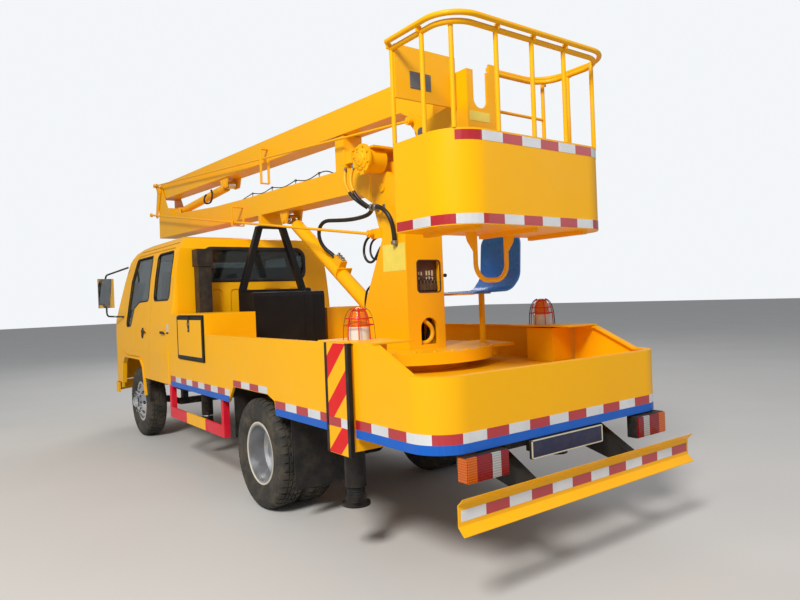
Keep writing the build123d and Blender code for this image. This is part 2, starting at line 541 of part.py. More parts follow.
with BuildPart() as deck_body:
    body_prism(0)
    add(body_inside.part, mode=Mode.SUBTRACT)
    add(body_lip.part)
    slab((BODY_FRONT - BODY_T - 5, BODY_FRONT + 5), (-600, 600), (BODY_BOTTOM - 5, DECK_Z - DECK_T),
         mode=Mode.SUBTRACT)
    # tops of the sides and tail, and the lockers left standing
    slice_side([(BODY_FRONT + 10, 1500), (BODY_FRONT + 10, BODY_TOP)] + TOP_CUT, (-LOCKER_IN, LOCKER_IN),
               mode=Mode.SUBTRACT)
    for s, rear in ((1, LOCKER_LEFT_REAR), (-1, LOCKER_RIGHT_REAR)):
        slice_side([(rear, 1500), (rear, BODY_TOP)] + TOP_CUT, (s * LOCKER_IN, s * (BODY_HALF + 10)),
                   mode=Mode.SUBTRACT)
        slab((rear, BODY_FRONT), (s * LOCKER_IN, s * BODY_HALF), (LOCKER_TOP - 12, LOCKER_TOP))
        slab((rear, rear + 12), (s * LOCKER_IN, s * BODY_HALF), (DECK_Z, LOCKER_TOP))
        slab((rear, BODY_FRONT), (s * LOCKER_IN, s * (LOCKER_IN + 12)), (DECK_Z, LOCKER_TOP))
        slab((FRAME_REAR, BODY_FRONT), (s * RAIL_IN, s * RAIL_OUT), (RAIL_Z1, DECK_Z - DECK_T))
        slice_side(ARCH_CUT, (s * 700, s * (BODY_HALF + 10)), mode=Mode.SUBTRACT)
        # gap for the jack's box, and the tunnel through the bearers
        slab((OUTRIGGER_X0 - 10, OUTRIGGER_X1 + 10), (s * (JACK_BOX_IN - 15), s * (BODY_HALF + 10)),
             (600, BODY_TOP + 10), mode=Mode.SUBTRACT)
        slab((OUTRIGGER_X0 - 10, OUTRIGGER_X1 + 10), (s * (RAIL_IN - 5), s * (RAIL_OUT + 5)),
             (RAIL_Z1, DECK_Z - DECK_T), mode=Mode.SUBTRACT)
        # ledge over the jack's box, which carries a beacon
        slab((OUTRIGGER_X0 - 190, OUTRIGGER_X1 + 130), (s * LEDGE_IN, s * BODY_HALF), (BODY_TOP + 2, BODY_TOP + 12))
        slab((OUTRIGGER_X0 - 190, OUTRIGGER_X0 - 12), (s * (BODY_HALF - BODY_T), s * BODY_HALF),
             (TAIL_TOP, BODY_TOP + 2))
        slab((OUTRIGGER_X1 + 12, OUTRIGGER_X1 + 130), (s * (BODY_HALF - BODY_T), s * BODY_HALF),
             (TAIL_TOP, BODY_TOP + 2))
    slab((LOCKER_DOOR[0] - 8, LOCKER_DOOR[1] + 8), (BODY_HALF - BODY_T - 5, BODY_HALF + 5),
         (LOCKER_DOOR[2] - 8, LOCKER_DOOR[3] + 8), mode=Mode.SUBTRACT)
    with BuildSketch(plan(DECK_Z)):
        with Locations((TURRET_X, 0)):
            Circle(430)
    extrude(amount=TURNTABLE_Z0 - 5 - DECK_Z)
save(deck_body, "deck_body")

LOCKER_HINGE = (BODY_HALF + 6, LOCKER_DOOR[2] + 4)
with BuildPart() as locker_door:
    slab(LOCKER_DOOR[0:2], (BODY_HALF - 14, BODY_HALF + 12), LOCKER_DOOR[2:4])
save(locker_door, "locker_door")

# Things under and behind the body
GUARD_X0, GUARD_X1, GUARD_HALF = 647, 2009, BODY_HALF - 13
with BuildPart() as side_guards:
    for tag, s in SIDES:
        for x in (GUARD_X0, GUARD_X1 - 50):
            slab((x, x + 50), (s * (GUARD_HALF - 50), s * GUARD_HALF), (390, BODY_BOTTOM))
        slab((GUARD_X0, GUARD_X1), (s * (GUARD_HALF - 15), s * GUARD_HALF), (390, 485))
save(side_guards, "side_guards")

with BuildPart() as mudguards:
    for tag, s in SIDES:
        for x in (-470, 470):
            slab((x - 4, x + 4), (s * 500, s * (BODY_HALF - 33)), (420, DECK_Z - DECK_T))
save(mudguards, "mudguards")

with BuildPart() as fuel_tank:
    with BuildSketch(across(850)):
        with Locations((-640, 560)):
            RectangleRounded(400, 240, 60)
    extrude(amount=620)
    for x in (980, 1290):
        slab((x, x + 40), (-450, -RAIL_OUT), (600, 660))
save(fuel_tank, "fuel_tank")

SILENCER_X, SILENCER_Y, SILENCER_Z, SILENCER_R, EXHAUST_R = (1700, 2250), -200, 452, 75, 24
with BuildPart() as exhaust:
    x0, x1 = SILENCER_X
    bar((x0, SILENCER_Y, SILENCER_Z), (x1, SILENCER_Y, SILENCER_Z), SILENCER_R)
    pipe([(x1 - 10, SILENCER_Y, SILENCER_Z), (2700, SILENCER_Y, SILENCER_Z), (2700, SILENCER_Y, 499)], EXHAUST_R, 45)
    pipe([(x0 + 10, SILENCER_Y, SILENCER_Z), (755, SILENCER_Y, SILENCER_Z), (755, -850, 420)], EXHAUST_R, 90)
    for x in (x0 + 80, x1 - 110):
        slab((x, x + 30), (-RAIL_OUT + 20, SILENCER_Y), (RAIL_Z0 - 14, RAIL_Z0))
save(exhaust, "exhaust")

with BuildPart() as rear_bumper:
    z, x = 385, -REAR_REACH
    rail = [(x, z), (x + 6, z), (x + 42, z + 35), (x + 42, z + 130), (x + 6, z + 165), (x, z + 165),
            (x + 36, z + 128), (x + 36, z + 37)]
    slice_side(rail, (3 - BODY_HALF, BODY_HALF - 3))
    for tag, s in SIDES:
        slice_side([(x + 42, z + 40), (x + 42, z + 120), (FRAME_REAR - 20, RAIL_Z1 - 20),
                    (FRAME_REAR + 120, RAIL_Z1 - 20), (FRAME_REAR + 120, RAIL_Z0 + 10)],
                   (s * (RAIL_OUT), s * (RAIL_OUT + 60)))
save(rear_bumper, "rear_bumper")

LAMP_W, LAMP_OUT = 275, {"left": BODY_HALF - 148, "right": BODY_HALF - 83}
with BuildPart() as rear_lamps:
    for tag, s in SIDES:
        y = LAMP_OUT[tag]
        slab((-2000, -1935), (s * (y - LAMP_W), s * y), (555, 680))
        slab((-1953, -1900), (s * (y - 200), s * (y - 160)), (600, BODY_BOTTOM + 60))
    slab((-1990, -1975), (-250, 320), (590, 685))
    for y in (-200, 250):
        slab((-1975, -1925), (y, y + 40), (620, 660))
        slab((-1953, -1925), (y, y + 40), (620, BODY_BOTTOM + 60))
save(rear_lamps, "rear_lamps")

# Rear outriggers: a cross housing on the frame, two beams side by side, jacks at their ends
HOUSING_Z0, HOUSING_Z1, HOUSING_T = RAIL_Z1, 905, 12
BEAM_X = {"left": -1122, "right": -1218}
with BuildPart() as outrigger_housing:
    x0, x1 = OUTRIGGER_X0 + 5, OUTRIGGER_X1 - 5
    slab((x0, x1), (-JACK_BOX_IN + 20, JACK_BOX_IN - 20), (HOUSING_Z0, HOUSING_Z1))
    for x in BEAM_X.values():
        slab((x - BEAM_W / 2 - BEAM_GAP / 2, x + BEAM_W / 2 + BEAM_GAP / 2), (-JACK_BOX_IN, JACK_BOX_IN),
             (BEAM_Z0 - BEAM_GAP, BEAM_Z1 + BEAM_GAP), mode=Mode.SUBTRACT)
    for tag, s in SIDES:
        point = (FRONT_JACK_X, s * FRONT_JACK_Y)
        bar((*point, 400), (*point, 880), JACK_BARREL_R - 8)
        slab((FRONT_JACK_X - 50, FRONT_JACK_X + 50), (s * RAIL_OUT, s * FRONT_JACK_Y), (RAIL_Z0 + 20, RAIL_Z1 - 20))
        bar((*point, 390), (*point, 820), JACK_ROD_R + 2, mode=Mode.SUBTRACT)
save(outrigger_housing, "outrigger_housing")

for tag, s in SIDES:
    with BuildPart() as outrigger:
        x = BEAM_X[tag]
        slab((x - BEAM_W / 2, x + BEAM_W / 2), (-s * 560, s * JACK_BOX_IN), (BEAM_Z0, BEAM_Z1))
        slab((OUTRIGGER_X0 + 6, OUTRIGGER_X1 - 6), (s * JACK_BOX_IN, s * (BODY_HALF + 7)), (610, BODY_TOP - 8))
        slab((OUTRIGGER_X0 - 4, OUTRIGGER_X1 + 4), (s * (BODY_HALF + 7), s * (BODY_HALF + 30)), (585, 1197))
        bar((JACK_X, s * JACK_Y, JACK_BARREL_Z), (JACK_X, s * JACK_Y, 640), JACK_BARREL_R)
        bar((JACK_X, s * JACK_Y, JACK_BARREL_Z - 10), (JACK_X, s * JACK_Y, 1100), JACK_ROD_R + 2,
            mode=Mode.SUBTRACT)
    save(outrigger, f"outrigger_{tag}")

# Jack legs. Table: name, station, Y, top of the rod
JACKS = (("rear_jack", JACK_X, JACK_Y, 760), ("front_jack", FRONT_JACK_X, FRONT_JACK_Y, 760))
for name, x, y, top in JACKS:
    for tag, s in SIDES:
        with BuildPart() as jack:
            z = FOOT_Z0
            turned_up([(0, z), (JACK_FOOT_R, z), (JACK_FOOT_R, z + 14), (JACK_ROD_R + 22, z + 26),
                       (JACK_ROD_R + 14, z + 62), (JACK_ROD_R, z + 70), (JACK_ROD_R, top), (0, top)], x, s * y)
        save(jack, f"{name}_{tag}")

# Behind the cab: hydraulic tank, air intake and the boom's rest
with BuildPart() as oil_tank:
    with BuildSketch(side(365)):
        with Locations((1380, (DECK_Z + 1530) / 2)):
            RectangleRounded(280, 1530 - DECK_Z, 40)
    extrude(amount=730)
    turned_up([(0, 1525), (45, 1525), (45, 1550), (30, 1562), (0, 1562)], 1330, -220)
    for y in (-270, -170):
        slab((1234, 1241), (y, y + 22), (DECK_Z, 1500))
save(oil_tank, "oil_tank")

INTAKE_X, INTAKE_Y, INTAKE_W = 1875, BODY_HALF - 328, 124
with BuildPart() as air_intake:
    for w, z in ((INTAKE_W, (LOCKER_TOP, 1800)), (INTAKE_W + 24, (1800, 1965))):
        slab((INTAKE_X - w / 2, INTAKE_X + w / 2), (INTAKE_Y - w / 2, INTAKE_Y + w / 2), z)
save(air_intake, "air_intake")

REST_X, REST_TOP = 1600, 2172
with BuildPart() as boom_rest:
    for tag, s in SIDES:
        leg = [(s * 285, DECK_Z), (s * 345, DECK_Z), (s * 345, 1560), (s * 150, REST_TOP), (s * 90, REST_TOP),
               (s * 285, 1560)]
        slice_across(leg, (REST_X - 30, REST_X + 30))
    slab((REST_X - 30, REST_X + 30), (-300, 300), (1510, 1560))
    slab((REST_X - 30, REST_X + 30), (-150, 150), (REST_TOP - 20, REST_TOP))
save(boom_rest, "boom_rest")

BEACON_X, BEACON_Y, BEACON_TOP, BEACON_R = -1130, BODY_HALF - 153, 1385, 60
with BuildPart() as beacons:
    z = BODY_TOP + 12
    for tag, s in SIDES:
        r = BEACON_R
        turned_up([(0, z), (r, z), (r, z + 72), (r - 8, z + 80), (r - 10, BEACON_TOP - 60), (r - 18, BEACON_TOP - 25),
                   (r - 34, BEACON_TOP - 6), (0, BEACON_TOP)], BEACON_X, s * BEACON_Y)
save(beacons, "beacons")

# Turret: turntable disc with its skirt, the box column open at the front, the seat
with BuildPart() as turntable:
    bar((TURRET_X, 0, TURNTABLE_Z0), (TURRET_X, 0, TURNTABLE_Z1), TURNTABLE_R)
    bar((TURRET_X, 0, TURNTABLE_Z0), (TURRET_X, 0, TURNTABLE_Z1 - 20), TURNTABLE_R - 12, mode=Mode.SUBTRACT)
    bar((TURRET_X, 0, TURNTABLE_Z0), (TURRET_X, 0, TURNTABLE_Z1), 400)
    slice_plan([(-560, -380), (-980, -300), (-980, -640), (-560, -720)], (TURNTABLE_Z1 - 20, TURNTABLE_Z1))
save(turntable, "turntable")

# openings in the turret's rear: the control panel's window, and the arch that the hoses come through
PANEL_W, PANEL_H, PANEL_Z = 204, 220, 1569
HOSE_ARCH_Y, HOSE_ARCH_R, HOSE_ARCH_TOP, HOSE_ARCH_BOTTOM = -19, 73, 1287, TURNTABLE_Z1 + 25
TURRET_PLATE = [(TURRET_REAR, TURNTABLE_Z1), (-210, TURNTABLE_Z1), (-230, 1240), (-290, 1420), (-520, 1840),
                (-440, 2060), (-420, 2120), (-450, 2255), (-520, 2300), (-620, 2300), (TURRET_REAR, 2200)]
with BuildPart() as turret_column:
    for tag, s in SIDES:
        slice_side(TURRET_PLATE, (s * (TURRET_HALF - TURRET_T), s * TURRET_HALF))
    slab((TURRET_REAR, TURRET_REAR + TURRET_T), (-TURRET_HALF, TURRET_HALF), (TURNTABLE_Z1, 1930))
    slice_side([(-300, TURNTABLE_Z1), (-210, TURNTABLE_Z1), (-210, TURNTABLE_Z1 + 25), (-790, TURNTABLE_Z1 + 25),
                (-790, TURNTABLE_Z1)], (-TURRET_HALF, TURRET_HALF))
    with BuildSketch(across(TURRET_REAR - 10)):
        with Locations((-30, PANEL_Z)):
            RectangleRounded(PANEL_W, PANEL_H, 25)
    extrude(amount=TURRET_T + 20, mode=Mode.SUBTRACT)
    with BuildSketch(across(TURRET_REAR - 10)):
        with Locations((HOSE_ARCH_Y, HOSE_ARCH_TOP - HOSE_ARCH_R)):
            Circle(HOSE_ARCH_R)
        with Locations((HOSE_ARCH_Y, (HOSE_ARCH_BOTTOM + HOSE_ARCH_TOP - HOSE_ARCH_R) / 2)):
            Rectangle(2 * HOSE_ARCH_R, HOSE_ARCH_TOP - HOSE_ARCH_R - HOSE_ARCH_BOTTOM)
    extrude(amount=TURRET_T + 20, mode=Mode.SUBTRACT)
    pin(ROOT, (-TURRET_HALF - 12, TURRET_HALF + 12), PIN_R)
    pin(LIFT_FOOT, (-TURRET_HALF, TURRET_HALF), PIN_R)
    clevis = offset_point(ROOT, TIE_LINK)
    pin(clevis, (TURRET_HALF - 5, LOWER_TIE_Y[1] + 9), 14)
    slab((clevis[0] - 90, clevis[0] + 30), (TURRET_HALF - 5, TURRET_HALF + 10), (clevis[1] - 35, clevis[1] + 35))
save(turret_column, "turret_column")

SEAT_X, SEAT_Y, SEAT_Z, SEAT_HALF = -700, -600, 1448, 205
with BuildPart() as operator_seat:
    with BuildSketch(across(SEAT_X - SEAT_HALF)):
        with BuildLine():
            FilletPolyline((-350, SEAT_Z - 4), (-400, SEAT_Z + 8), (-700, SEAT_Z + 16), (-790, SEAT_Z + 110),
                           (-812, SEAT_Z + 420), (-828, SEAT_Z + 420), (-808, SEAT_Z + 100), (-705, SEAT_Z),
                           (-400, SEAT_Z - 8), (-352, SEAT_Z - 18),
                           radius=[3, 30, 110, 120, 3, 3, 130, 125, 30, 3], close=True)
        make_face()
    extrude(amount=2 * SEAT_HALF)
    with BuildSketch(Plane(origin=at(SEAT_X, -300, SEAT_Z + 200), x_dir=(1, 0, 0), z_dir=(0, -1, 0))):
        RectangleRounded(2 * SEAT_HALF, 480, 90)
    extrude(amount=600, mode=Mode.INTERSECT)
    bar((SEAT_X, SEAT_Y, TURNTABLE_Z1), (SEAT_X, SEAT_Y, SEAT_Z + 4), 22)
    bar((SEAT_X, SEAT_Y, SEAT_Z - 14), (SEAT_X, SEAT_Y, SEAT_Z + 4), 70)
save(operator_seat, "operator_seat")


# Boom arms: box sections between their pivots
def arm_edge(x, front, rear):
    """The height at a station of a straight edge through two (station, height) points."""
    return rear[1] + (front[1] - rear[1]) * (x - rear[0]) / (front[0] - rear[0])


LOWER_EDGE = ((4830, 2368), (-129, 2232))
UPPER_EDGE = ((4830, 2888), (-565, 2697))
LOWER_OUTLINE = [(-640, 2120), (-500, 2110), (-330, 2130), (-150, arm_edge(-150, *LOWER_EDGE)),
                 (4880, arm_edge(4880, *LOWER_EDGE)), (4860, 3040), (4820, 3075), (4750, 3075), (4710, 3040),
                 (4480, 2740), (4240, 2612), (3800, 2595), (2800, 2523), (1960, 2490),
                 (-300, arm_edge(-300, *LOWER_EDGE) + LOWER_H), (-640, 2370), (-680, 2280)]
with BuildPart() as lower_arm:
    slice_side(LOWER_OUTLINE, (-LOWER_HALF, LOWER_HALF))
    # fork for the upper arm
    slice_side([(4460, 2700), (4440, 2640), (4780, 2600), (4950, 2640), (4950, 3100), (4600, 3100)],
               (-LOWER_HALF + ARM_T, LOWER_HALF - ARM_T), mode=Mode.SUBTRACT)
    pin(ROOT, (-LOWER_HALF - 5, LOWER_HALF + 5), PIN_R + PIN_FIT, mode=Mode.SUBTRACT)
    pin(KNUCKLE, (-LOWER_HALF - 15, CRANK_Y[1] + 4), PIN_R)
    # saddle that carries the folded upper arm
    slab((60, 190), (-85, 85), (arm_edge(60, *LOWER_EDGE) + LOWER_H - 10, arm_edge(60, *UPPER_EDGE) - 6))
    # ears for the lift cylinder's eye, and for the fold cylinder's foot
    for s in (1, -1):
        slice_side([(1060, 2300), (1250, 2300), (1190, 2150), (1110, 2150)], (s * EAR_IN, s * EAR_OUT))
        slice_side([(4060, 2560), (4240, 2560), (4195, 2695), (4105, 2695)], (s * EAR_IN, s * EAR_OUT))
        pin(LIFT_EYE, (s * (EAR_OUT - 2), s * (EAR_OUT + 8)), 32)
    pin(FOLD_FOOT, (-EAR_OUT, EAR_OUT), 22)
    # rest pad
    slab((REST_X - 35, REST_X + 35), (-110, 110), (REST_TOP + 6, arm_edge(REST_X, *LOWER_EDGE) + 5))
    # guide loop for the lower tie rod
    for z in (2215, 2402):
        slab((1980, 2020), (LOWER_HALF - 5, 235), (z, z + 8))
    slab((1980, 2020), (227, 235), (2215, 2410))
    slab((1980, 2020), (LOWER_HALF - 5, LOWER_HALF + 3), (2215, 2410))
    # winch beside the root
    bar((-560, UPPER_TIE_Y[1] + 10, 2380), (-560, 330, 2380), 85)
    bar((-560, 318, 2380), (-560, 336, 2380), 105)
    slab((-660, -460), (40, 300), (2447, 2462))
    slab((-640, -460), (40, 60), (2360, 2462))
save(lower_arm, "lower_arm")

UPPER_OUTLINE = [(4880, 2960), (4860, 3050), (4780, arm_edge(4780, *UPPER_EDGE) + UPPER_H),
                 (-600, arm_edge(-600, *UPPER_EDGE) + UPPER_H), (-860, 2880), (-1060, 2720), (-1040, 2490),
                 (-1010, 2430), (-950, 2410), (-890, 2430), (-860, 2500), (-830, 2620), (-700, 2690),
                 (4780, arm_edge(4780, *UPPER_EDGE)), (4850, 2900)]
with BuildPart() as upper_arm:
    slice_side(UPPER_OUTLINE, (-UPPER_HALF, UPPER_HALF))
    pin(KNUCKLE, (-UPPER_HALF - 5, UPPER_HALF + 5), PIN_R + PIN_FIT, mode=Mode.SUBTRACT)
    pin(TIP, (-UPPER_HALF - 5, UPPER_HALF + 5), PIN_R + PIN_FIT, mode=Mode.SUBTRACT)
    pin(TIP, (-HUB_DRUM_HALF - 2, HUB_DRUM_HALF + 2), HUB_DRUM_R + 2, mode=Mode.SUBTRACT)
    for s in (1, -1):
        slice_side([(2440, 2830), (2700, 2830), (2620, 2700), (2500, 2700)], (s * EAR_IN, s * EAR_OUT))
        pin(FOLD_EYE, (s * (EAR_OUT - 2), s * (EAR_OUT + 8)), 28)
    slice_side([(2440, 2700), (2760, 2700), (2760, 2760), (2440, 2760)], (-61, 61), mode=Mode.SUBTRACT)
    # guide loop for the upper tie rod
    for z in (2548, 2870):
        slab((1380, 1420), (UPPER_HALF - 5, 175), (z, z + 8))
    slab((1380, 1420), (167, 175), (2548, 2878))
    slab((1380, 1420), (UPPER_HALF - 5, UPPER_HALF + 3), (2548, 2878))
save(upper_arm, "upper_arm")


# Cylinders: a barrel on its foot's pin, and a rod with an eye. Table:
# name, foot, eye, barrel radius, rod radius, rod's share inside the barrel
def unit(a, b):
    length = hypot(b[0] - a[0], b[1] - a[1])
    return ((b[0] - a[0]) / length, (b[1] - a[1]) / length, length)


def along(point, direction, distance):
    return (point[0] + direction[0] * distance, point[1] + direction[1] * distance)


CYLINDERS = (("lift", LIFT_FOOT, LIFT_EYE, 58, 32, PIN_R, 24), ("fold", FOLD_FOOT, FOLD_EYE, 46, 24, 22, 20))
for name, foot, eye, barrel_r, rod_r, foot_pin, eye_pin in CYLINDERS:
    d = unit(foot, eye)
    mouth = d[2] - 130
    start, end = along(foot, d, 30), along(foot, d, mouth)
    with BuildPart() as barrel:
        pin(foot, (-40, 40), foot_pin + 18)
        bar((start[0], 0, start[1]), (end[0], 0, end[1]), barrel_r)
        inner = along(foot, d, 70)
        over = along(foot, d, mouth + 5)
        bar((inner[0], 0, inner[1]), (over[0], 0, over[1]), rod_r + 2, mode=Mode.SUBTRACT)
        pin(foot, (-60, 60), foot_pin + PIN_FIT, mode=Mode.SUBTRACT)
    save(barrel, f"{name}_barrel")
    tail, neck = along(foot, d, 90), along(eye, d, -30)
    with BuildPart() as rod:
        bar((tail[0], 0, tail[1]), (neck[0], 0, neck[1]), rod_r)
        pin(eye, (-EYE_HALF, EYE_HALF), eye_pin + 20)
        pin(eye, (4 - EAR_IN, EAR_IN - 4), eye_pin)
    save(rod, f"{name}_rod")

# Levelling linkage: the crank on the knuckle and two tie rods
CRANK_LOW, CRANK_TOP = offset_point(KNUCKLE, TIE_LINK), offset_point(KNUCKLE, TOP_LINK)
TIE_EYE_R, TIE_PIN_R = 26, 12
with BuildPart() as bell_crank:
    pin(KNUCKLE, CRANK_Y, 62)
    pin(CRANK_LOW, CRANK_Y, 40)
    pin(CRANK_TOP, CRANK_Y, 34)
    for corner, width in ((CRANK_LOW, 28), (CRANK_TOP, 32)):
        d = unit(KNUCKLE, corner)
        n = (-d[1], d[0])
        slice_side([along(KNUCKLE, n, 55), along(corner, n, width), along(corner, n, -width),
                    along(KNUCKLE, n, -55)], CRANK_Y)
    pin(KNUCKLE, (CRANK_Y[0] - 5, CRANK_Y[1] + 5), PIN_R + PIN_FIT, mode=Mode.SUBTRACT)
    pin(CRANK_LOW, (CRANK_Y[0], LOWER_TIE_Y[1] + 6), TIE_PIN_R)
    pin(CRANK_TOP, (CRANK_Y[0] - 5, CRANK_Y[1] + 5), TIE_PIN_R + PIN_FIT, mode=Mode.SUBTRACT)
save(bell_crank, "bell_crank")

with BuildPart() as crank_pin:
    pin(CRANK_TOP, (CRANK_Y[0] - 2, UPPER_TIE_Y[1] + 4), TIE_PIN_R)
save(crank_pin, "crank_pin")


def tie_rod(rear, front, y, r):
    """A rod with an eye at each end, bored for its pins."""
    middle = sum(y) / 2
    bar((rear[0], middle, rear[1]), (front[0], middle, front[1]), r)
    for eye, bore in ((rear, 14 if y == LOWER_TIE_Y else TIE_PIN_R), (front, TIE_PIN_R)):
        pin(eye, y, TIE_EYE_R)
        pin(eye, (y[0] - 5, y[1] + 5), bore + 0.5, mode=Mode.SUBTRACT)


with BuildPart() as lower_tie_rod:
    tie_rod(offset_point(ROOT, TIE_LINK), CRANK_LOW, LOWER_TIE_Y, 11)
save(lower_tie_rod, "lower_tie_rod")

with BuildPart() as upper_tie_rod:
    tie_rod(offset_point(TIP, TOP_LINK), CRANK_TOP, UPPER_TIE_Y, 9)
save(upper_tie_rod, "upper_tie_rod")

# Work platform: hub with its drum inside the arm's tip, a tub with a floor, brackets, rails and the step loop
with BuildPart() as platform_hub:
    pin(TIP, (-124, 124), PIN_R)
    pin(TIP, (-HUB_DRUM_HALF, HUB_DRUM_HALF), HUB_DRUM_R)
save(platform_hub, "platform_hub")


def tub(inset, z0, mode=Mode.ADD):
    """The tub's solid outline up to its rim, drawn in by a wall's thickness."""
    x0, x1 = PLATFORM_REAR + inset, PLATFORM_FRONT - inset
    y0, y1 = PLATFORM_Y - PLATFORM_HALF + inset, PLATFORM_Y + PLATFORM_HALF - inset
    rear_r, front_r = PLATFORM_R - inset, 25 - inset
    with BuildSketch(plan(z0)) as outline:
        with BuildLine():
            FilletPolyline((x0, y0), (x1, y0), (x1, y1), (x0, y1), radius=[rear_r, front_r, front_r, rear_r],
                           close=True)
        make_face()
    extrude(outline.sketch, amount=PLATFORM_Z1 - z0, mode=mode)


COLUMN_D = 130
STEP_X, STEP_Y, STEP_Z, STEP_R = -1440, (-118, 138), 1514, 14
with BuildPart() as platform_tub:
    tub(0, PLATFORM_Z0)
    tub(PLATFORM_T, PLATFORM_Z0 + PLATFORM_T, mode=Mode.SUBTRACT)
    for s in (1, -1):
        slice_side([(PLATFORM_FRONT, 2000), (PLATFORM_FRONT, 2600), (-1180, 2590), (-910, 2545), (-900, 2500),
                    (-910, 2455), (-1080, 2400)], (s * 103, s * 118))
    link_ear = ((-50, 20), (20, -30), (110, 70), (100, 115), (55, 120), (-60, 60))
    slice_side([offset_point(TIP, corner) for corner in link_ear], (103, 118))
    pin(TIP, (-120, 120), PIN_R + PIN_FIT, mode=Mode.SUBTRACT)
    # column with a plate that is notched for the hoses
    slab((PLATFORM_FRONT - COLUMN_D, PLATFORM_FRONT), (103, 118), (PLATFORM_Z1 - 20, 2780))
    slab((PLATFORM_FRONT - COLUMN_D, PLATFORM_FRONT), (-118, -103), (PLATFORM_Z1 - 20, 2580))
    with BuildSketch(across(PLATFORM_FRONT - COLUMN_D)):
        Polygon((-118, PLATFORM_Z1 - 20), (118, PLATFORM_Z1 - 20), (118, 2780), (-68, 2780), (-68, 2835), (-118, 2835))
        with Locations((10, 2760)):
            SlotCenterToCenter(300, 110, rotation=90, mode=Mode.SUBTRACT)
    extrude(amount=12)
    slab((PLATFORM_FRONT, PLATFORM_FRONT + 12), (-118, 118), (PLATFORM_Z1 - 20, 2590))
    pin(offset_point(TIP, TOP_LINK), (112, UPPER_TIE_Y[1] + 4), TIE_PIN_R)
    # step loop under the floor
    pipe([(STEP_X, STEP_Y[0], PLATFORM_Z0 + 2), (STEP_X, STEP_Y[0], STEP_Z), (STEP_X, STEP_Y[1], STEP_Z),
          (STEP_X, STEP_Y[1], PLATFORM_Z0 + 2)], STEP_R, 100)
    for y, out in ((STEP_Y[0], -1), (STEP_Y[1], 1)):
        slice_across([(y, PLATFORM_Z0 + 2), (y + out * 75, PLATFORM_Z0 + 2), (y + out * 60, PLATFORM_Z0 - 50),
                      (y, PLATFORM_Z0 - 130)], (STEP_X - 5, STEP_X + 5))
    # ribs under the floor
    for y in (PLATFORM_Y - 440, PLATFORM_Y, PLATFORM_Y + 440):
        slab((PLATFORM_REAR + 60, PLATFORM_FRONT - 30), (y - 20, y + 20), (PLATFORM_Z0 - 22, PLATFORM_Z0 + 2))
save(platform_tub, "platform_tub")

POST_R, GATE_BAR_R, RAIL_TUBE_R, RAIL_BEND = 13, 10, 15, 160
RAIL_OUTER_Z = RAIL_TOP_Z - RAIL_TUBE_R
RAIL_OUT_BY, RAIL_DOWN, LINK_T = 34, 32, 10
GATE_Y = -200
with BuildPart() as platform_rails:
    x0, x1 = PLATFORM_REAR + 12, PLATFORM_FRONT - 20
    y0, y1 = PLATFORM_Y - PLATFORM_HALF + 12, PLATFORM_Y + PLATFORM_HALF - 12
    # two rails, one outside the other. Table: how far outside the posts, how far below the top rail
    for out, down in ((RAIL_OUT_BY, 0), (0, RAIL_DOWN)):
        route = [(x1, y1 + out), (x0 - out, y1 + out), (x0 - out, y0 - out), (x1 + out, y0 - out), (x1 + out, GATE_Y)]
        pipe([(px, py, RAIL_OUTER_Z - down) for px, py in route], RAIL_TUBE_R, RAIL_BEND + out)
    # posts, most with a link out to the top rail. Table: station, Y, outward along the truck, outward across it
    corner = PLATFORM_R - 6
    k = PLATFORM_R - corner * sin(radians(45))
    kx = PLATFORM_REAR + k
    posts = ((x1, y1, 0, 1), (-1560, y1, 0, 1), (kx, y1 + 12 - k, 0, 0), (x0, 260, -1, 0), (x0, -20, -1, 0),
             (x0, -290, -1, 0), (kx, y0 - 12 + k, 0, 0), (-1500, y0, 0, -1), (x1, y0, 0, -1), (x1, GATE_Y, 1, 0))
    z = RAIL_OUTER_Z - RAIL_DOWN
    for px, py, dx, dy in posts:
        bar((px, py, PLATFORM_Z1), (px, py, z), POST_R)
        if dx or dy:
            qx, qy = px + dx * RAIL_OUT_BY, py + dy * RAIL_OUT_BY
            slab((min(px, qx) - abs(dy) * LINK_T / 2, max(px, qx) + abs(dy) * LINK_T / 2),
                 (min(py, qy) - abs(dx) * LINK_T / 2, max(py, qy) + abs(dx) * LINK_T / 2),
                 (z - 6, RAIL_OUTER_Z - 3))
    bar((x1, GATE_Y, 2600), (x1, y0, 2600), GATE_BAR_R)
    # control box on its plate
    slab((PLATFORM_FRONT - 40, PLATFORM_FRONT - 28), (125, y1 - 5), (2560, RAIL_TOP_Z - 20))
    slab((PLATFORM_FRONT - 28, PLATFORM_FRONT + 55), (300, 500), (2620, 2810))
save(platform_rails, "platform_rails")
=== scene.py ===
from math import ceil, cos, pi, radians, sin, tan

import bmesh
import bpy
from mathutils import Matrix, Vector


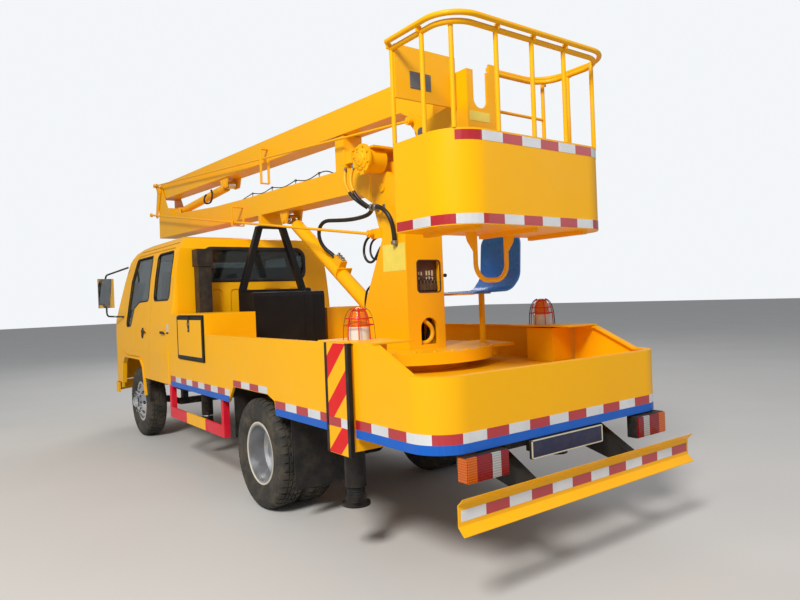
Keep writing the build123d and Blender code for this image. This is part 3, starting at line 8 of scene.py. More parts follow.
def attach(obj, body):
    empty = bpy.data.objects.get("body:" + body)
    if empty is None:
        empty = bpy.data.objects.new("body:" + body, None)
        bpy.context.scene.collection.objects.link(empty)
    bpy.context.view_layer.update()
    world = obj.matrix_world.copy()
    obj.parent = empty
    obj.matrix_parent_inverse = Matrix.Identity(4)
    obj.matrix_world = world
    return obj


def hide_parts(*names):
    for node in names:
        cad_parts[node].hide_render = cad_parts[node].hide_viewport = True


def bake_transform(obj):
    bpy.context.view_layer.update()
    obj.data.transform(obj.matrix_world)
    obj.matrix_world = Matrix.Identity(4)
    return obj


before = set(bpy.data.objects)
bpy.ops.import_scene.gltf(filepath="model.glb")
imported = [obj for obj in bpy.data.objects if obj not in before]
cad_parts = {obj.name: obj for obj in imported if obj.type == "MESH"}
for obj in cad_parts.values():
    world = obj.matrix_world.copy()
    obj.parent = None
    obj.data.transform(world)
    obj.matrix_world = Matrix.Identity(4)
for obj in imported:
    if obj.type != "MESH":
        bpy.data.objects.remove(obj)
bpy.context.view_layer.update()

# Cherry picker truck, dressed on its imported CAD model. Metres, +X to the truck's front, +Y left, +Z up.
# Places are written as the CAD source has them, in millimetres, with stations ahead of the rear axle.
SIDES = (("left", 1), ("right", -1))
REAR_AXLE_X = -1405
WHEELBASE, HUB_Z = 3360, 383
FRONT_WHEEL_Y, REAR_OUTER_Y, REAR_INNER_Y = 745, 825.5, 599.5
DISC_OFFSET, RIM_HALF_W = 104, 78
BODY_HALF, BODY_REAR, BODY_FRONT, BODY_CORNER_R, BODY_BOTTOM = 923, -1973, 1930, 200, 690
BUMPER_REAR, BUMPER_HALF = -2140, 905
PLATFORM_FRONT, PLATFORM_REAR, PLATFORM_Y, PLATFORM_HALF, PLATFORM_R = -1268, -1800, -50, 645, 225
PLATFORM_Z0, PLATFORM_Z1 = 1795, 2296
TURRET_X, TURRET_REAR, TURRET_HALF, TURNTABLE_TOP = -550, -790, 160, 1080
LIFT_FOOT, LIFT_EYE = Vector((-300, 1240)), Vector((1150, 2190))
BEACON_X, BEACON_Y, BEACON_Z0, BEACON_TOP = -1130, 770, 1202, 1385
CAB_REAR = 1985
SCREEN_TOP, SCREEN_FOOT = Vector((3730, 1995)), Vector((4170, 1290))


def point(x, y, z):
    """A place in the row frame, in metres, from a station, a Y and a height in millimetres."""
    return Vector(((x + REAR_AXLE_X) / 1000, y / 1000, z / 1000))


# Materials
def srgb(r, g, b):
    """The linear colour of an sRGB one, given in 0 to 255."""
    values = [c / 255 for c in (r, g, b)]
    return tuple(c / 12.92 if c <= 0.04045 else ((c + 0.055) / 1.055) ** 2.4 for c in values) + (1.0,)


def shade(colour, factor):
    """A colour made darker or lighter."""
    return tuple(min(1.0, c * factor) for c in colour[:3]) + (1.0,)


class Shader:
    """A procedural material in the making: its Principled shader, and short ways to add nodes."""

    def __init__(self, name, **sockets):
        self.material = bpy.data.materials.new(name)
        self.material.use_nodes = True
        self.tree = self.material.node_tree
        self.bsdf = self.tree.nodes["Principled BSDF"]
        for socket, value in sockets.items():
            self.put(self.bsdf, socket.replace("_", " "), value)
        self.coords = self.node("ShaderNodeTexCoord").outputs["Object"]

    def node(self, kind, inputs=None, **settings):
        """A new node with its settings and its inputs, each a value or another node's output."""
        made = self.tree.nodes.new(kind)
        for name, value in settings.items():
            setattr(made, name, value)
        for name, value in (inputs or {}).items():
            self.put(made, name, value)
        return made

    def put(self, node, name, value):
        """Sets a node's input, or links it to another node's output."""
        if isinstance(value, bpy.types.NodeSocket):
            self.tree.links.new(value, node.inputs[name])
        else:
            node.inputs[name].default_value = value

    def noise(self, scale, detail=4.0, roughness=0.5):
        settings = {"Vector": self.coords, "Scale": scale, "Detail": detail, "Roughness": roughness}
        return self.node("ShaderNodeTexNoise", settings).outputs["Fac"]

    def spread(self, value, low, high, to_low=0.0, to_high=1.0):
        """Value taken from the range low..high to another one, and held inside it."""
        ends = {"Value": value, "From Min": low, "From Max": high, "To Min": to_low, "To Max": to_high}
        return self.node("ShaderNodeMapRange", ends, clamp=True).outputs["Result"]

    def math(self, operation, first, second=0.0):
        return self.node("ShaderNodeMath", {0: first, 1: second}, operation=operation).outputs[0]

    def axis(self, name):
        """One of the object's own coordinates, in metres."""
        return self.node("ShaderNodeSeparateXYZ", {0: self.coords}).outputs[name]

    def mix(self, factor, first, second):
        return self.node("ShaderNodeMix", {0: factor, 6: first, 7: second}, data_type="RGBA").outputs[2]

    def bump(self, height, strength, distance=0.002, bevel=0.0):
        made = self.node("ShaderNodeBump", {"Strength": strength, "Distance": distance, "Height": height})
        if bevel:
            edge = self.node("ShaderNodeBevel", {"Radius": bevel}, samples=4)
            self.put(made, "Normal", edge.outputs["Normal"])
        self.put(self.bsdf, "Normal", made.outputs["Normal"])

    def finish(self, colour, roughness):
        self.put(self.bsdf, "Base Color", colour)
        self.put(self.bsdf, "Roughness", roughness)
        return self.material


DUST = srgb(150, 132, 104)


def paint(name, colour, rough=0.36, coat=0.08, dust=0.06, bevel=0.004, pattern=None):
    """Sprayed metal: faint fading, orange peel, and road dust that thickens towards the ground.
    Pattern gives the colour socket instead of one colour."""
    s = Shader(name, Coat_Weight=coat, Coat_Roughness=0.12, Specular_IOR_Level=0.2)
    first = pattern(s) if pattern else s.mix(s.noise(1.3, 3), shade(colour, 0.93), shade(colour, 1.04))
    low = s.spread(s.axis("Z"), 0.25, 1.25, 1.0, 0.12)
    settled = s.math("MULTIPLY", s.spread(s.noise(6.5, 9, 0.68), 0.42, 0.72), low)
    worn = s.mix(s.math("MULTIPLY", settled, dust), first, DUST)
    s.bump(s.noise(260, 2), 0.05, 0.0006, bevel)
    return s.finish(worn, s.spread(s.noise(4, 6), 0.3, 0.7, rough - 0.05, rough + 0.14))


def plain(name, colour, rough, grain, depth, dust=0.15, metallic=0.0, bevel=0.0, **sockets):
    """A plastic, rubber or bare metal: a grain, its depth, and some dust."""
    s = Shader(name, Metallic=metallic, **sockets)
    tone = s.mix(s.noise(grain / 8, 5), shade(colour, 0.8), shade(colour, 1.15))
    settled = s.math("MULTIPLY", s.spread(s.noise(9, 8, 0.7), 0.45, 0.75), dust)
    s.bump(s.noise(grain, 3), 0.35, depth, bevel)
    return s.finish(s.mix(settled, tone, DUST), s.spread(s.noise(12, 5), 0.3, 0.7, rough - 0.08, rough + 0.1))


YELLOW, BLUE = srgb(253, 183, 2), srgb(16, 96, 196)
BLACK, GUARD_RED, STRIPE_RED = srgb(20, 20, 22), srgb(222, 22, 50), srgb(222, 26, 30)
STRIPE_PITCH = 0.262        # a red band and a yellow one, along X and Z together
# the yellow block on the guards: middle station, half its length, and the top of the bottom rail
BLOCK_MIDDLE, BLOCK_HALF, RAIL_TOP = 1303, 0.235, 0.486
TAPE_CELLS = 260            # scale of the reflective tape's honeycomb
WAVE_LENGTH = 0.314         # length of the wave texture's bands at a scale of 1


def stripes(s):
    """Red and yellow bands that rise towards the truck's rear."""
    along = s.math("ADD", s.axis("X"), s.axis("Z"))
    band = s.math("FRACT", s.math("MULTIPLY", s.math("ADD", along, 10.0), 1 / STRIPE_PITCH))
    return s.mix(s.math("GREATER_THAN", band, 0.5), YELLOW, STRIPE_RED)


def guard_colours(s):
    """Red, with the middle block of the bottom rail in yellow."""
    off = s.math("ABSOLUTE", s.math("SUBTRACT", s.axis("X"), point(BLOCK_MIDDLE, 0, 0).x))
    inside = s.math("LESS_THAN", off, BLOCK_HALF)
    below = s.math("LESS_THAN", s.axis("Z"), RAIL_TOP)
    return s.mix(s.math("MULTIPLY", inside, below), GUARD_RED, YELLOW)


def retro(name, colour):
    """Reflective tape: fine honeycomb cells under a clear film."""
    s = Shader(name, Coat_Weight=0.6, Coat_Roughness=0.08, Specular_IOR_Level=0.7)
    cells = s.node("ShaderNodeTexVoronoi", {"Vector": s.coords, "Scale": TAPE_CELLS},
                   feature="DISTANCE_TO_EDGE")
    edge = s.spread(cells.outputs["Distance"], 0.0, 0.08)
    s.bump(edge, 0.25, 0.0003)
    tone = s.mix(s.spread(s.noise(5, 7), 0.35, 0.7), shade(colour, 0.82), colour)
    return s.finish(s.mix(edge, shade(colour, 0.75), tone), 0.34)


def lens(name, colour, pitch=0.012):
    """A ribbed plastic lens with a bright reflector behind it; its colour is lighter on the ribs' crests and
    darker between them, painted highlight and painted shade.
    """
    s = Shader(name, Coat_Weight=0.3, Coat_Roughness=0.1, Specular_IOR_Level=0.3, Subsurface_Weight=0.15,
               Subsurface_Scale=0.01, Subsurface_Radius=(1.0, 0.5, 0.3))
    wave = s.node("ShaderNodeTexWave", {"Vector": s.coords, "Scale": WAVE_LENGTH / pitch},
                  bands_direction="Z")
    s.bump(wave.outputs["Fac"], 0.5, 0.0015)
    # colour lighter on the ribs' crests and darker in their troughs: painted highlight and painted shade
    return s.finish(s.mix(wave.outputs["Fac"], shade(colour, 0.7), shade(colour, 1.1)), 0.16)


def glass(name, tint):
    """Tinted glass with faint smears."""
    s = Shader(name, IOR=1.45, Transmission_Weight=0.93, Specular_IOR_Level=0.6)
    smear = s.noise(3, 6)
    return s.finish(s.mix(s.spread(smear, 0.5, 0.8), tint, shade(tint, 0.85)),
                    s.spread(smear, 0.4, 0.75, 0.0, 0.05))


def chequer(name, colour):
    """Tread plate: raised slanted bars, turned in turn, on worn paint."""
    s = Shader(name, Metallic=0.2)
    turned = s.node("ShaderNodeTexBrick", {"Vector": s.coords, "Scale": 26, "Mortar Size": 0.08}, offset=0.5)
    s.bump(turned.outputs["Fac"], 0.7, 0.002)
    worn = s.mix(s.spread(s.noise(7, 8, 0.7), 0.4, 0.7), colour, shade(colour, 0.62))
    return s.finish(worn, 0.5)


M = {
    "yellow": paint("yellow_paint", YELLOW),
    "blue": paint("blue_paint", BLUE, dust=0.1),
    "guard": paint("guard_paint", GUARD_RED, dust=0.15, pattern=guard_colours),
    "stripes": paint("stripe_paint", YELLOW, dust=0.1, pattern=stripes, bevel=0),
    "red": paint("red_paint", srgb(214, 44, 26), dust=0.2, bevel=0.001),
    "white": paint("white_paint", srgb(224, 224, 220), dust=0.3, bevel=0.002),
    "black": paint("black_paint", BLACK, rough=0.4, coat=0.1, dust=0.1),
    "cast": plain("cast_black", srgb(38, 38, 40), 0.6, 60, 0.001, dust=0.55, metallic=0.3, bevel=0.003),
    "steel": plain("worn_steel", srgb(150, 150, 150), 0.36, 90, 0.0003, metallic=0.9, dust=0.3, bevel=0.002),
    "silver": plain("silver_rim", srgb(176, 178, 182), 0.34, 120, 0.0003, metallic=0.75, dust=0.35,
                    bevel=0.002),
    "pale_ring": plain("rim_ring", srgb(214, 208, 190), 0.5, 80, 0.0004, dust=0.3),
    "chrome": plain("chrome", srgb(225, 227, 230), 0.12, 40, 0.0001, metallic=1.0, dust=0.05),
    "rubber": plain("rubber", srgb(20, 20, 21), 0.62, 140, 0.0005, dust=0.12),
    "tyre": plain("tyre_rubber", srgb(50, 48, 44), 0.78, 70, 0.0008, dust=0.3),
    "hose": plain("hose", srgb(19, 19, 20), 0.45, 160, 0.0003, dust=0.08),
    "plastic": plain("black_plastic", srgb(26, 27, 29), 0.5, 220, 0.0004, bevel=0.003),
    "grey": plain("grey_trim", srgb(96, 98, 102), 0.6, 200, 0.0005, dust=0.05, bevel=0.004),
    "seat": plain("seat_shell", srgb(24, 116, 220), 0.28, 150, 0.0002, dust=0.1, bevel=0.002,
                  Coat_Weight=0.3),
    "cloth": plain("seat_cloth", srgb(88, 92, 104), 0.9, 320, 0.0015, dust=0.05, Sheen_Weight=0.4),
    "plate": plain("blank_plate", srgb(240, 222, 92), 0.42, 50, 0.0002, dust=0.2),
    "pale": plain("pale_plate", srgb(205, 200, 176), 0.5, 50, 0.0002, dust=0.2),
    # brown of the turret's control board and window rim: painted shade inside the turret
    "brown": plain("turret_board_painted_shade", srgb(84, 52, 34), 0.6, 40, 0.0005),
    # dark brown for the inside of the turret behind its arch: painted shade
    "dark": plain("inside_painted_shade", srgb(52, 30, 18), 0.8, 30, 0.001, dust=0.1),
    "navy": plain("blank_navy", srgb(26, 36, 74), 0.4, 60, 0.0002, dust=0.1),
    "wrapped": plain("wrapped_hose", shade(YELLOW, 0.92), 0.5, 90, 0.0012, dust=0.1),
    # rusty exhaust steel; on the turret's valve block its brown is painted shade
    "rust": plain("exhaust_steel", srgb(98, 74, 58), 0.7, 45, 0.0012, metallic=0.5, dust=0.4),
    "tape_red": retro("tape_red", srgb(190, 18, 34)),
    "tape_white": retro("tape_white", srgb(228, 230, 234)),
    "lens_red": lens("lens_red", srgb(138, 20, 36)),
    "lens_amber": lens("lens_amber", srgb(206, 98, 20)),
    "lens_clear": lens("lens_clear", srgb(176, 178, 180)),
    "dome": lens("beacon_dome", srgb(240, 128, 22), pitch=0.009),
    "glass": glass("cab_glass_tint", srgb(122, 132, 132)),
    "mirror": plain("mirror_glass", srgb(235, 238, 240), 0.04, 30, 0.00005, metallic=1.0, dust=0.02),
    "chequer": chequer("tread_plate", shade(YELLOW, 0.8)),
}


def dress(node, looks, choose=None):
    """Gives a CAD node its materials; choose returns the index for a face's middle and normal."""
    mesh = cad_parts[node].data
    mesh.materials.clear()
    for look in looks.split():
        mesh.materials.append(M[look])
    if choose:
        for face in mesh.polygons:
            face.material_index = int(choose(face.center, face.normal))


# CAD nodes with one material each
for look, cad_nodes in (
    ("cast", "chassis_frame rear_axle front_axle knuckle_left knuckle_right engine_block outrigger_housing"),
    ("yellow", "cab_shell front_bumper deck_body turntable turret_column lower_arm upper_arm lift_barrel"
               " fold_barrel bell_crank lower_tie_rod upper_tie_rod"),
    ("black", "fuel_tank oil_tank boom_rest locker_door"), ("plastic", "rear_lamps air_intake"),
    ("chrome", "lift_rod fold_rod front_rim_left front_rim_right"), ("steel", "crank_pin platform_hub"),
    ("silver", "rear_rims_left rear_rims_right"), ("rust", "exhaust"), ("lens_clear", "headlamps"),
    ("glass", "cab_glass"), ("guard", "side_guards"), ("rubber", "mudguards"),
):
    for cad_node in cad_nodes.split():
        dress(cad_node, look)


def inside(x, z, outline, margin=0.003):
    """True where a place in a side view lies in an outline, and further from its edge than a margin.
    All in metres."""
    place, crossed = Vector((x, z)), False
    for start, end in zip(outline, outline[1:] + outline[:1]):
        start, end = Vector(start), Vector(end)
        along = min(1, max(0, (place - start).dot(end - start) / (end - start).length_squared))
        if (start.lerp(end, along) - place).length < margin:
            return False
        if (start.y > z) != (end.y > z):
            crossed ^= x < start.x + (z - start.y) / (end.y - start.y) * (end.x - start.x)
    return crossed


WINDOW_FRONT = [(3670, 1215), (3570, 1730), (3435, 1972), (2830, 1972), (2830, 1500), (3180, 1490),
                (3370, 1425), (3470, 1230)]
WINDOW_REAR = [(2640, 1495), (2640, 1972), (2120, 1972), (2120, 1495)]
REAR_WINDOW = [(-550, 1670), (550, 1670), (550, 1985), (-550, 1985)]
# heights in metres: the doors' handles, the jacks' feet, the lower edge of the outriggers' covers
HANDLE_LOW, HANDLE_HIGH, JACK_FOOT_TOP, COVER_LOW = 1.163, 1.193, 0.36, 0.645
for side, _ in SIDES:
    for door, window in (("door_front", WINDOW_FRONT), ("door_rear", WINDOW_REAR)):
        outline = [(point(x, 0, 0).x, z / 1000) for x, z in window]
        dress(f"{door}_{side}", "yellow glass plastic", lambda c, n, outline=outline: (
            1 if inside(c.x, c.z, outline) else 2 * (HANDLE_LOW < c.z < HANDLE_HIGH and abs(c.y) > 0.892)))
    for jack in ("rear_jack", "front_jack"):
        dress(f"{jack}_{side}", "chrome black", lambda c, n: c.z < JACK_FOOT_TOP)
    # the jack's tube and the cover's edge faces are black
    dress(f"outrigger_{side}", "yellow black", lambda c, n: (
        c.z < COVER_LOW and abs(c.y) < 0.91 or abs(n.x) > 0.9 and abs(c.y) > 0.931))
dress("rear_bumper", "yellow black", lambda c, n: c.x > point(-2092, 0, 0).x)
dress("cab_interior", "cloth grey", lambda c, n: c.x > point(3600, 0, 0).x)
dress("mirrors", "plastic mirror", lambda c, n: n.x < -0.9 and 1.45 < c.z < 1.78)
dress("operator_seat", "seat yellow", lambda c, n: c.z < 1.435 or (c.y > -0.66 and c.z < 1.44))
dress("beacons", "white dome", lambda c, n: c.z > (BEACON_Z0 + 74) / 1000)
dress("platform_tub", "yellow chequer", lambda c, n: n.z > 0.9 and 1.7 < c.z < (PLATFORM_Z0 + 20) / 1000)
box_low, box_high = point(-1297, 298, 2618), point(-1212, 502, 2812)
dress("platform_rails", "yellow grey", lambda c, n: all(a < v < b for a, v, b in zip(box_low, c, box_high)))


# Ways to make pieces
def link(name, data):
    """A new object in the scene."""
    made = bpy.data.objects.new(name, data)
    bpy.context.scene.collection.objects.link(made)
    return made


def circle(radius, count, turn=0.0):
    """Points round a circle, as pairs."""
    angles = [turn + 2 * pi * i / count for i in range(count)]
    return [(radius * cos(a), radius * sin(a)) for a in angles]


def skin(rows, size, closed=False):
    """Faces over rows of points that each close on themselves. The end rows are capped or joined."""
    faces = []
    for k in range(rows if closed else rows - 1):
        for i in range(size):
            here, after = k * size, (k + 1) % rows * size
            faces.append((here + i, here + (i + 1) % size, after + (i + 1) % size, after + i))
    if not closed:
        faces += [list(range(size))[::-1], list(range((rows - 1) * size, rows * size))]
    return faces


def piece(name, verts, faces, looks, body, which=None, smooth=None, bevel=0.0, segments=2):
    """A mesh on a body, or on none yet. which gives each face's material index; smooth is the angle below
    which edges are shaded smooth; bevel rounds the sharp edges."""
    mesh = bpy.data.meshes.new(name)
    mesh.from_pydata([tuple(v) for v in verts], [], faces)
    for look in looks.split():
        mesh.materials.append(M[look])
    if which:
        mesh.polygons.foreach_set("material_index", which)
    mesh.validate()
    tidy = bmesh.new()
    tidy.from_mesh(mesh)
    bmesh.ops.recalc_face_normals(tidy, faces=tidy.faces)
    tidy.to_mesh(mesh)
    tidy.free()
    made = link(name, mesh)
    if bevel:
        rounding = made.modifiers.new("edges", "BEVEL")
        rounding.width = bevel / 1000
        rounding.segments = segments
        rounding.limit_method = "ANGLE"
        rounding.angle_limit = radians(35)
    if smooth is not None:
        mesh.polygons.foreach_set("use_smooth", [True] * len(mesh.polygons))
        mesh.set_sharp_from_angle(angle=radians(smooth))
    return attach(made, body) if body else made


class Build:
    """Vertices and faces gathered for one piece."""

    def __init__(self):
        self.verts, self.faces, self.which = [], [], []

    def add(self, verts, faces, look=0):
        """Adds a mesh, with one look or a list of each face's."""
        start = len(self.verts)
        self.verts += [Vector(v) for v in verts]
        self.faces += [[start + i for i in face] for face in faces]
        self.which += look if isinstance(look, list) else [look] * len(faces)
        return self

    def box(self, low, high, look=0):
        """A block between two corners in millimetres, as stations, Y and heights."""
        (x0, x1), (y0, y1), (z0, z1) = (sorted(pair) for pair in zip(low, high))
        corners = [point(x, y, z) for z in (z0, z1) for x, y in ((x0, y0), (x1, y0), (x1, y1), (x0, y1))]
        sides = [(0, 1, 5, 4), (1, 2, 6, 5), (2, 3, 7, 6), (3, 0, 4, 7)]
        return self.add(corners, [(3, 2, 1, 0), (4, 5, 6, 7)] + sides, look)

    def lathe(self, centre, axis, profile, segments=32, look=0, ring=False):
        """Turns (radius, distance along the axis) points in millimetres round an axis. A ring's outline
        closes on itself; otherwise the two ends are capped."""
        axis = Vector(axis).normalized()
        first = axis.orthogonal().normalized()
        second = axis.cross(first)
        verts = [Vector(centre) + (axis * along + first * a + second * b) / 1000
                 for r, along in profile for a, b in circle(r, segments)]
        return self.add(verts, skin(len(profile), segments, ring), look)

    def bolt(self, place, axis, r, height, look=0):
        """A hexagon head on a washer."""
        self.lathe(place, axis, [(r * 1.35, 0), (r * 1.35, 1.8)], 18, look)
        return self.lathe(place, axis, [(r, 1), (r, height - 1.5), (r * 0.82, height)], 6, look)

    def bolts(self, middle, radius, count, turn, axis, r, height, look=0, level=False):
        """A circle of bolts in the plane of X and Z, or in a level one."""
        for a, b in circle(radius / 1000, count, turn):
            self.bolt(middle + Vector((a, b, 0) if level else (a, 0, b)), axis, r, height, look)

    def sweep(self, path, normals, profile, closed=False, looks=None):
        """Carries a closed profile of (across, out) points in millimetres along a path with outward normals.
        looks gives each step's material index."""
        count, verts = len(path), []
        for i in range(count):
            after = path[(i + 1) % count] if closed or i + 1 < count else path[i]
            before = path[i - 1] if closed or i else path[i]
            along = (after - before).normalized()
            out = (normals[i] - along * normals[i].dot(along)).normalized()
            across = along.cross(out)
            verts += [path[i] + (across * a + out * o) / 1000 for a, o in profile]
        steps = count if closed else count - 1
        looks = (looks or [0] * steps)[:steps]
        which = [look for look in looks for _ in profile]
        if not closed:
            which += [looks[0], looks[-1]]
        return self.add(verts, skin(count, len(profile), closed), which)

    def make(self, name, looks, body, **options):
        return piece(name, self.verts, self.faces, looks, body, self.which, **options)


HOSE_SIDES = 14


def route_through(places):
    """Points along a NURBS spline with given control points in millimetres."""
    curve = bpy.data.curves.new("route", "CURVE")
    curve.dimensions = "3D"
    curve.resolution_u = 8
    line = curve.splines.new("NURBS")
    line.points.add(len(places) - 1)
    for control, place in zip(line.points, places):
        control.co = (*point(*place), 1.0)
    line.order_u = 3
    line.use_endpoint_u = True
    holder = link("route", curve)
    mesh = bpy.data.meshes.new_from_object(holder)
    route = [vertex.co.copy() for vertex in mesh.vertices]
    bpy.data.meshes.remove(mesh)
    bpy.data.objects.remove(holder)
    return route


def hose(name, places, radius, other=None, low_z=0,
         looks="hose", body="turret"):
    """A flexible hose that hangs between two fixed ends. With another body it is left in place, on no body.
    Below low_z it may have a second look."""
    route = route_through(places)
    build, normals = Build(), [Vector((0, 1, 0))]
    for a, b in zip(route, route[1:]):
        along = (b - a).normalized()
        normals.append((normals[-1] - along * normals[-1].dot(along)).normalized())
    build.sweep(route, normals, circle(radius, HOSE_SIDES), looks=[int(p.z < low_z / 1000) for p in route])
    made = build.make(name, looks, None if other else body, smooth=50)
    if other:
        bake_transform(made)
    return made


# Reflective tape: blocks of 150 mm along a path round a body, in plan
BLOCK, FILM = 0.15, 1.5


def rounded_plan(x0, x1, half, rear_r, steps=10, middle=0):
    """The left side, tail and right side of a body in plan, from the front left to the front right."""
    corners = [(pi / 2 + pi / 2 * i / steps) for i in range(steps + 1)]
    left = [(x0 + rear_r + rear_r * cos(a), half - rear_r + rear_r * sin(a)) for a in corners]
    plan = [(x1, half)] + left + [(x, -y) for x, y in reversed(left)] + [(x1, -half)]
    return [(x, y + middle) for x, y in plan]


def cut_path(path, start, stop):
    """Part of a plan path, between two distances along it in metres: the distances of its corners and of
    the tape's block ends, with their places and outward or inward normals."""
    places = [point(x, y, 0) for x, y in path]
    marks = [0.0]
    for a, b in zip(places, places[1:]):
        marks.append(marks[-1] + (b - a).length)
    stop = min(stop, marks[-1])
    wanted = sorted({start, stop} | {m for m in marks if start < m < stop}
                    | {start + BLOCK * i for i in range(1, 200) if start + BLOCK * i < stop - 0.01})
    found, normals = [], []
    for mark in wanted:
        i = next(k for k in range(len(places) - 1) if marks[k + 1] >= mark - 1e-9)
        a, b = places[i], places[i + 1]
        found.append(a.lerp(b, (mark - marks[i]) / (marks[i + 1] - marks[i])))
        along = (b - a).normalized()
        normals.append(Vector((along.y, -along.x, 0)))
    return wanted, found, normals


def tape(name, body, runs, z, height=50, looks="tape_red tape_white", inward=-500, middle_y=0):
    """Bands of alternating blocks. Runs: plan path, start and stop along it in millimetres. Inward is how
    far ahead of the path's start the middle lies."""
    build, half = Build(), height / 2
    section = [(-half, -0.5), (half, -0.5), (half, FILM), (-half, FILM)]
    for path, start, stop in runs:
        marks, places, normals = cut_path(path, start / 1000, stop / 1000)
        rise = Vector((0, 0, (z + half) / 1000))
        blocks = [int((0.5 * (a + b) - start / 1000) / BLOCK) % len(looks.split())
                  for a, b in zip(marks, marks[1:])]
        # outward is away from a place on the body's middle line
        middle = point(path[0][0] + inward, middle_y, 0)
        normals = [n if n.dot(p - middle) > 0 else -n for n, p in zip(normals, places)]
        smooth = [(n + before).normalized() for before, n in zip(normals[:1] + normals, normals)]
        build.sweep([place + rise for place in places], smooth, section, looks=blocks)
    return build.make(name, looks, body)


BODY_PATH = rounded_plan(BODY_REAR, BODY_FRONT, BODY_HALF, BODY_CORNER_R)
SIDE_RUN = BODY_FRONT - BODY_REAR - BODY_CORNER_R
TAIL_RUN = 2 * (BODY_HALF - BODY_CORNER_R)
WHOLE = 2 * SIDE_RUN + pi * BODY_CORNER_R + TAIL_RUN


def station(x):
    """The distance along the left side's path of a station on it."""
    return BODY_FRONT - x


def both_sides(runs):
    """Runs along the left side's path, and the same ones mirrored on the right side."""
    return [(BODY_PATH, a, b) for a, b in runs] + [(BODY_PATH, WHOLE - b, WHOLE - a) for a, b in runs]


# below the body's edge the tape leaves out the wheels and the outriggers' covers
COVER_REAR, COVER_FRONT, COVER_PLAY = -1294, -1046, 8
side_runs = [(station(1915), station(474)), (station(-318), station(COVER_FRONT + COVER_PLAY))]
tail_start = station(COVER_REAR - COVER_PLAY)
lower_runs = both_sides(side_runs) + [(BODY_PATH, tail_start, WHOLE - tail_start)]
tape("body_tape", "chassis", lower_runs, 737)
tape("arch_tape", "chassis", both_sides([(station(392), station(-198))]), 819, 46)
tape("body_stripe", "chassis", lower_runs, BODY_BOTTOM, 47, looks="blue")

TUB_FRONT = PLATFORM_FRONT - 26
TUB_PATH = rounded_plan(PLATFORM_REAR, TUB_FRONT, PLATFORM_HALF, PLATFORM_R, middle=PLATFORM_Y)
TUB_SIDE = TUB_FRONT - PLATFORM_REAR - PLATFORM_R
TUB_CORNER = pi / 2 * PLATFORM_R
TUB_WHOLE = 2 * (TUB_SIDE + TUB_CORNER + PLATFORM_HALF - PLATFORM_R)
for name, start, z in (("low", 0, PLATFORM_Z0 + 6), ("top", TUB_SIDE + TUB_CORNER / 2, PLATFORM_Z1 - 62)):
    tape(f"platform_tape_{name}", "platform", [(TUB_PATH, start, TUB_WHOLE)], z, 52, inward=-250,
         middle_y=PLATFORM_Y)
bumper_path = [(BUMPER_REAR + 36.5, BUMPER_HALF), (BUMPER_REAR + 36.5, -BUMPER_HALF)]
tape("bumper_tape", "chassis", [(bumper_path, 0, 2 * BUMPER_HALF)], 442, 50, "tape_white tape_red", 900)

# Striped covers of the outriggers, with their edge strips and the tape across
COVER_FACE, BOARD_FACE, TRIM_FACE, TRIM = 952.5, 954.5, 956, 26
for side, s in SIDES:
    build = Build()
    for x0, x1, z0, z1, out, look in (
            (COVER_REAR + 16, COVER_FRONT - 16, 588, 1194, BOARD_FACE, 0),
            (COVER_REAR, COVER_REAR + TRIM, 585, 1197, TRIM_FACE, 1),
            (COVER_FRONT - TRIM, COVER_FRONT, 585, 1197, TRIM_FACE, 1),
            (COVER_REAR + 16, COVER_REAR + 90, 737, 787, TRIM_FACE, 2),
            (COVER_REAR + 90, COVER_FRONT - 16, 737, 787, TRIM_FACE, 3)):
        build.box((x0, s * COVER_FACE, z0), (x1, s * out, z1), look)
    build.make(f"stripe_cover_{side}", "stripes rubber tape_white tape_red", f"outrigger_{side}")


# Tyres: a carcass turned from its outline, with ribs, shoulder blocks and rings on the wall
TREAD_PITCHES = 42
SHOULDER_SLANT, INNER_SLANT, MIDDLE_SLANT = 0.00035, 0.0011, 0.0016    # radians per millimetre of width


def tyre_into(build, x, y):
    """One tyre with its tread, from rows of (radius, half width) in millimetres."""
    centre = point(x, y, HUB_Z)
    half = [(203, 70), (219, 71), (222, 80), (236, 89), (240, 92), (246, 92), (250, 94), (262, 97),
            (285, 100), (300, 100.5), (306, 102), (318, 102), (323, 100), (345, 96), (356, 92), (365, 86),
            (371, 78), (374.5, 60), (374.5, 58), (375.5, 40), (376, 20)]
    profile = [(r, -w) for r, w in half] + [(r, w) for r, w in reversed(half)]
    build.lathe(centre, (0, 1, 0), profile, 80, ring=True)

    def block(a0, a1, stations, slant):
        """A tread block between two angles, over stations of (width, base radius, top radius)."""
        corners = [centre + Vector((r * cos(a + slant * w), w, r * sin(a + slant * w))) / 1000
                   for w, base, top in stations for r in (base, top) for a in (a0, a1)]
        quads = []
        for k in range(len(stations) - 1):
            i, j = k * 4, k * 4 + 4
            quads += [(i + 2, i + 3, j + 3, j + 2), (i, i + 2, j + 2, j), (i + 1, j + 1, j + 3, i + 3)]
        last = len(stations) * 4 - 4
        quads += [(0, 1, 3, 2), (last, last + 2, last + 3, last + 1)]
        build.add(corners, quads)

    step = 2 * pi / TREAD_PITCHES
    for i in range(TREAD_PITCHES):
        for out in (-1, 1):
            a = step * (i + (0.5 if out > 0 else 0))
            shoulder = [(out * 46, 370, 382.6), (out * 66, 370, 381.6), (out * 80, 364, 374.5),
                        (out * 91, 352, 362), (out * 97.5, 340, 346)]
            block(a - step * 0.36, a + step * 0.36, shoulder, out * SHOULDER_SLANT)
            inner = [(out * 17, 370, 383), (out * 38, 370, 382.8)]
            block(a - step * 0.40, a + step * 0.40, inner, out * INNER_SLANT)
        block(step * i - step * 0.42, step * i + step * 0.42, [(-11, 370, 383), (11, 370, 383)],
              MIDDLE_SLANT)


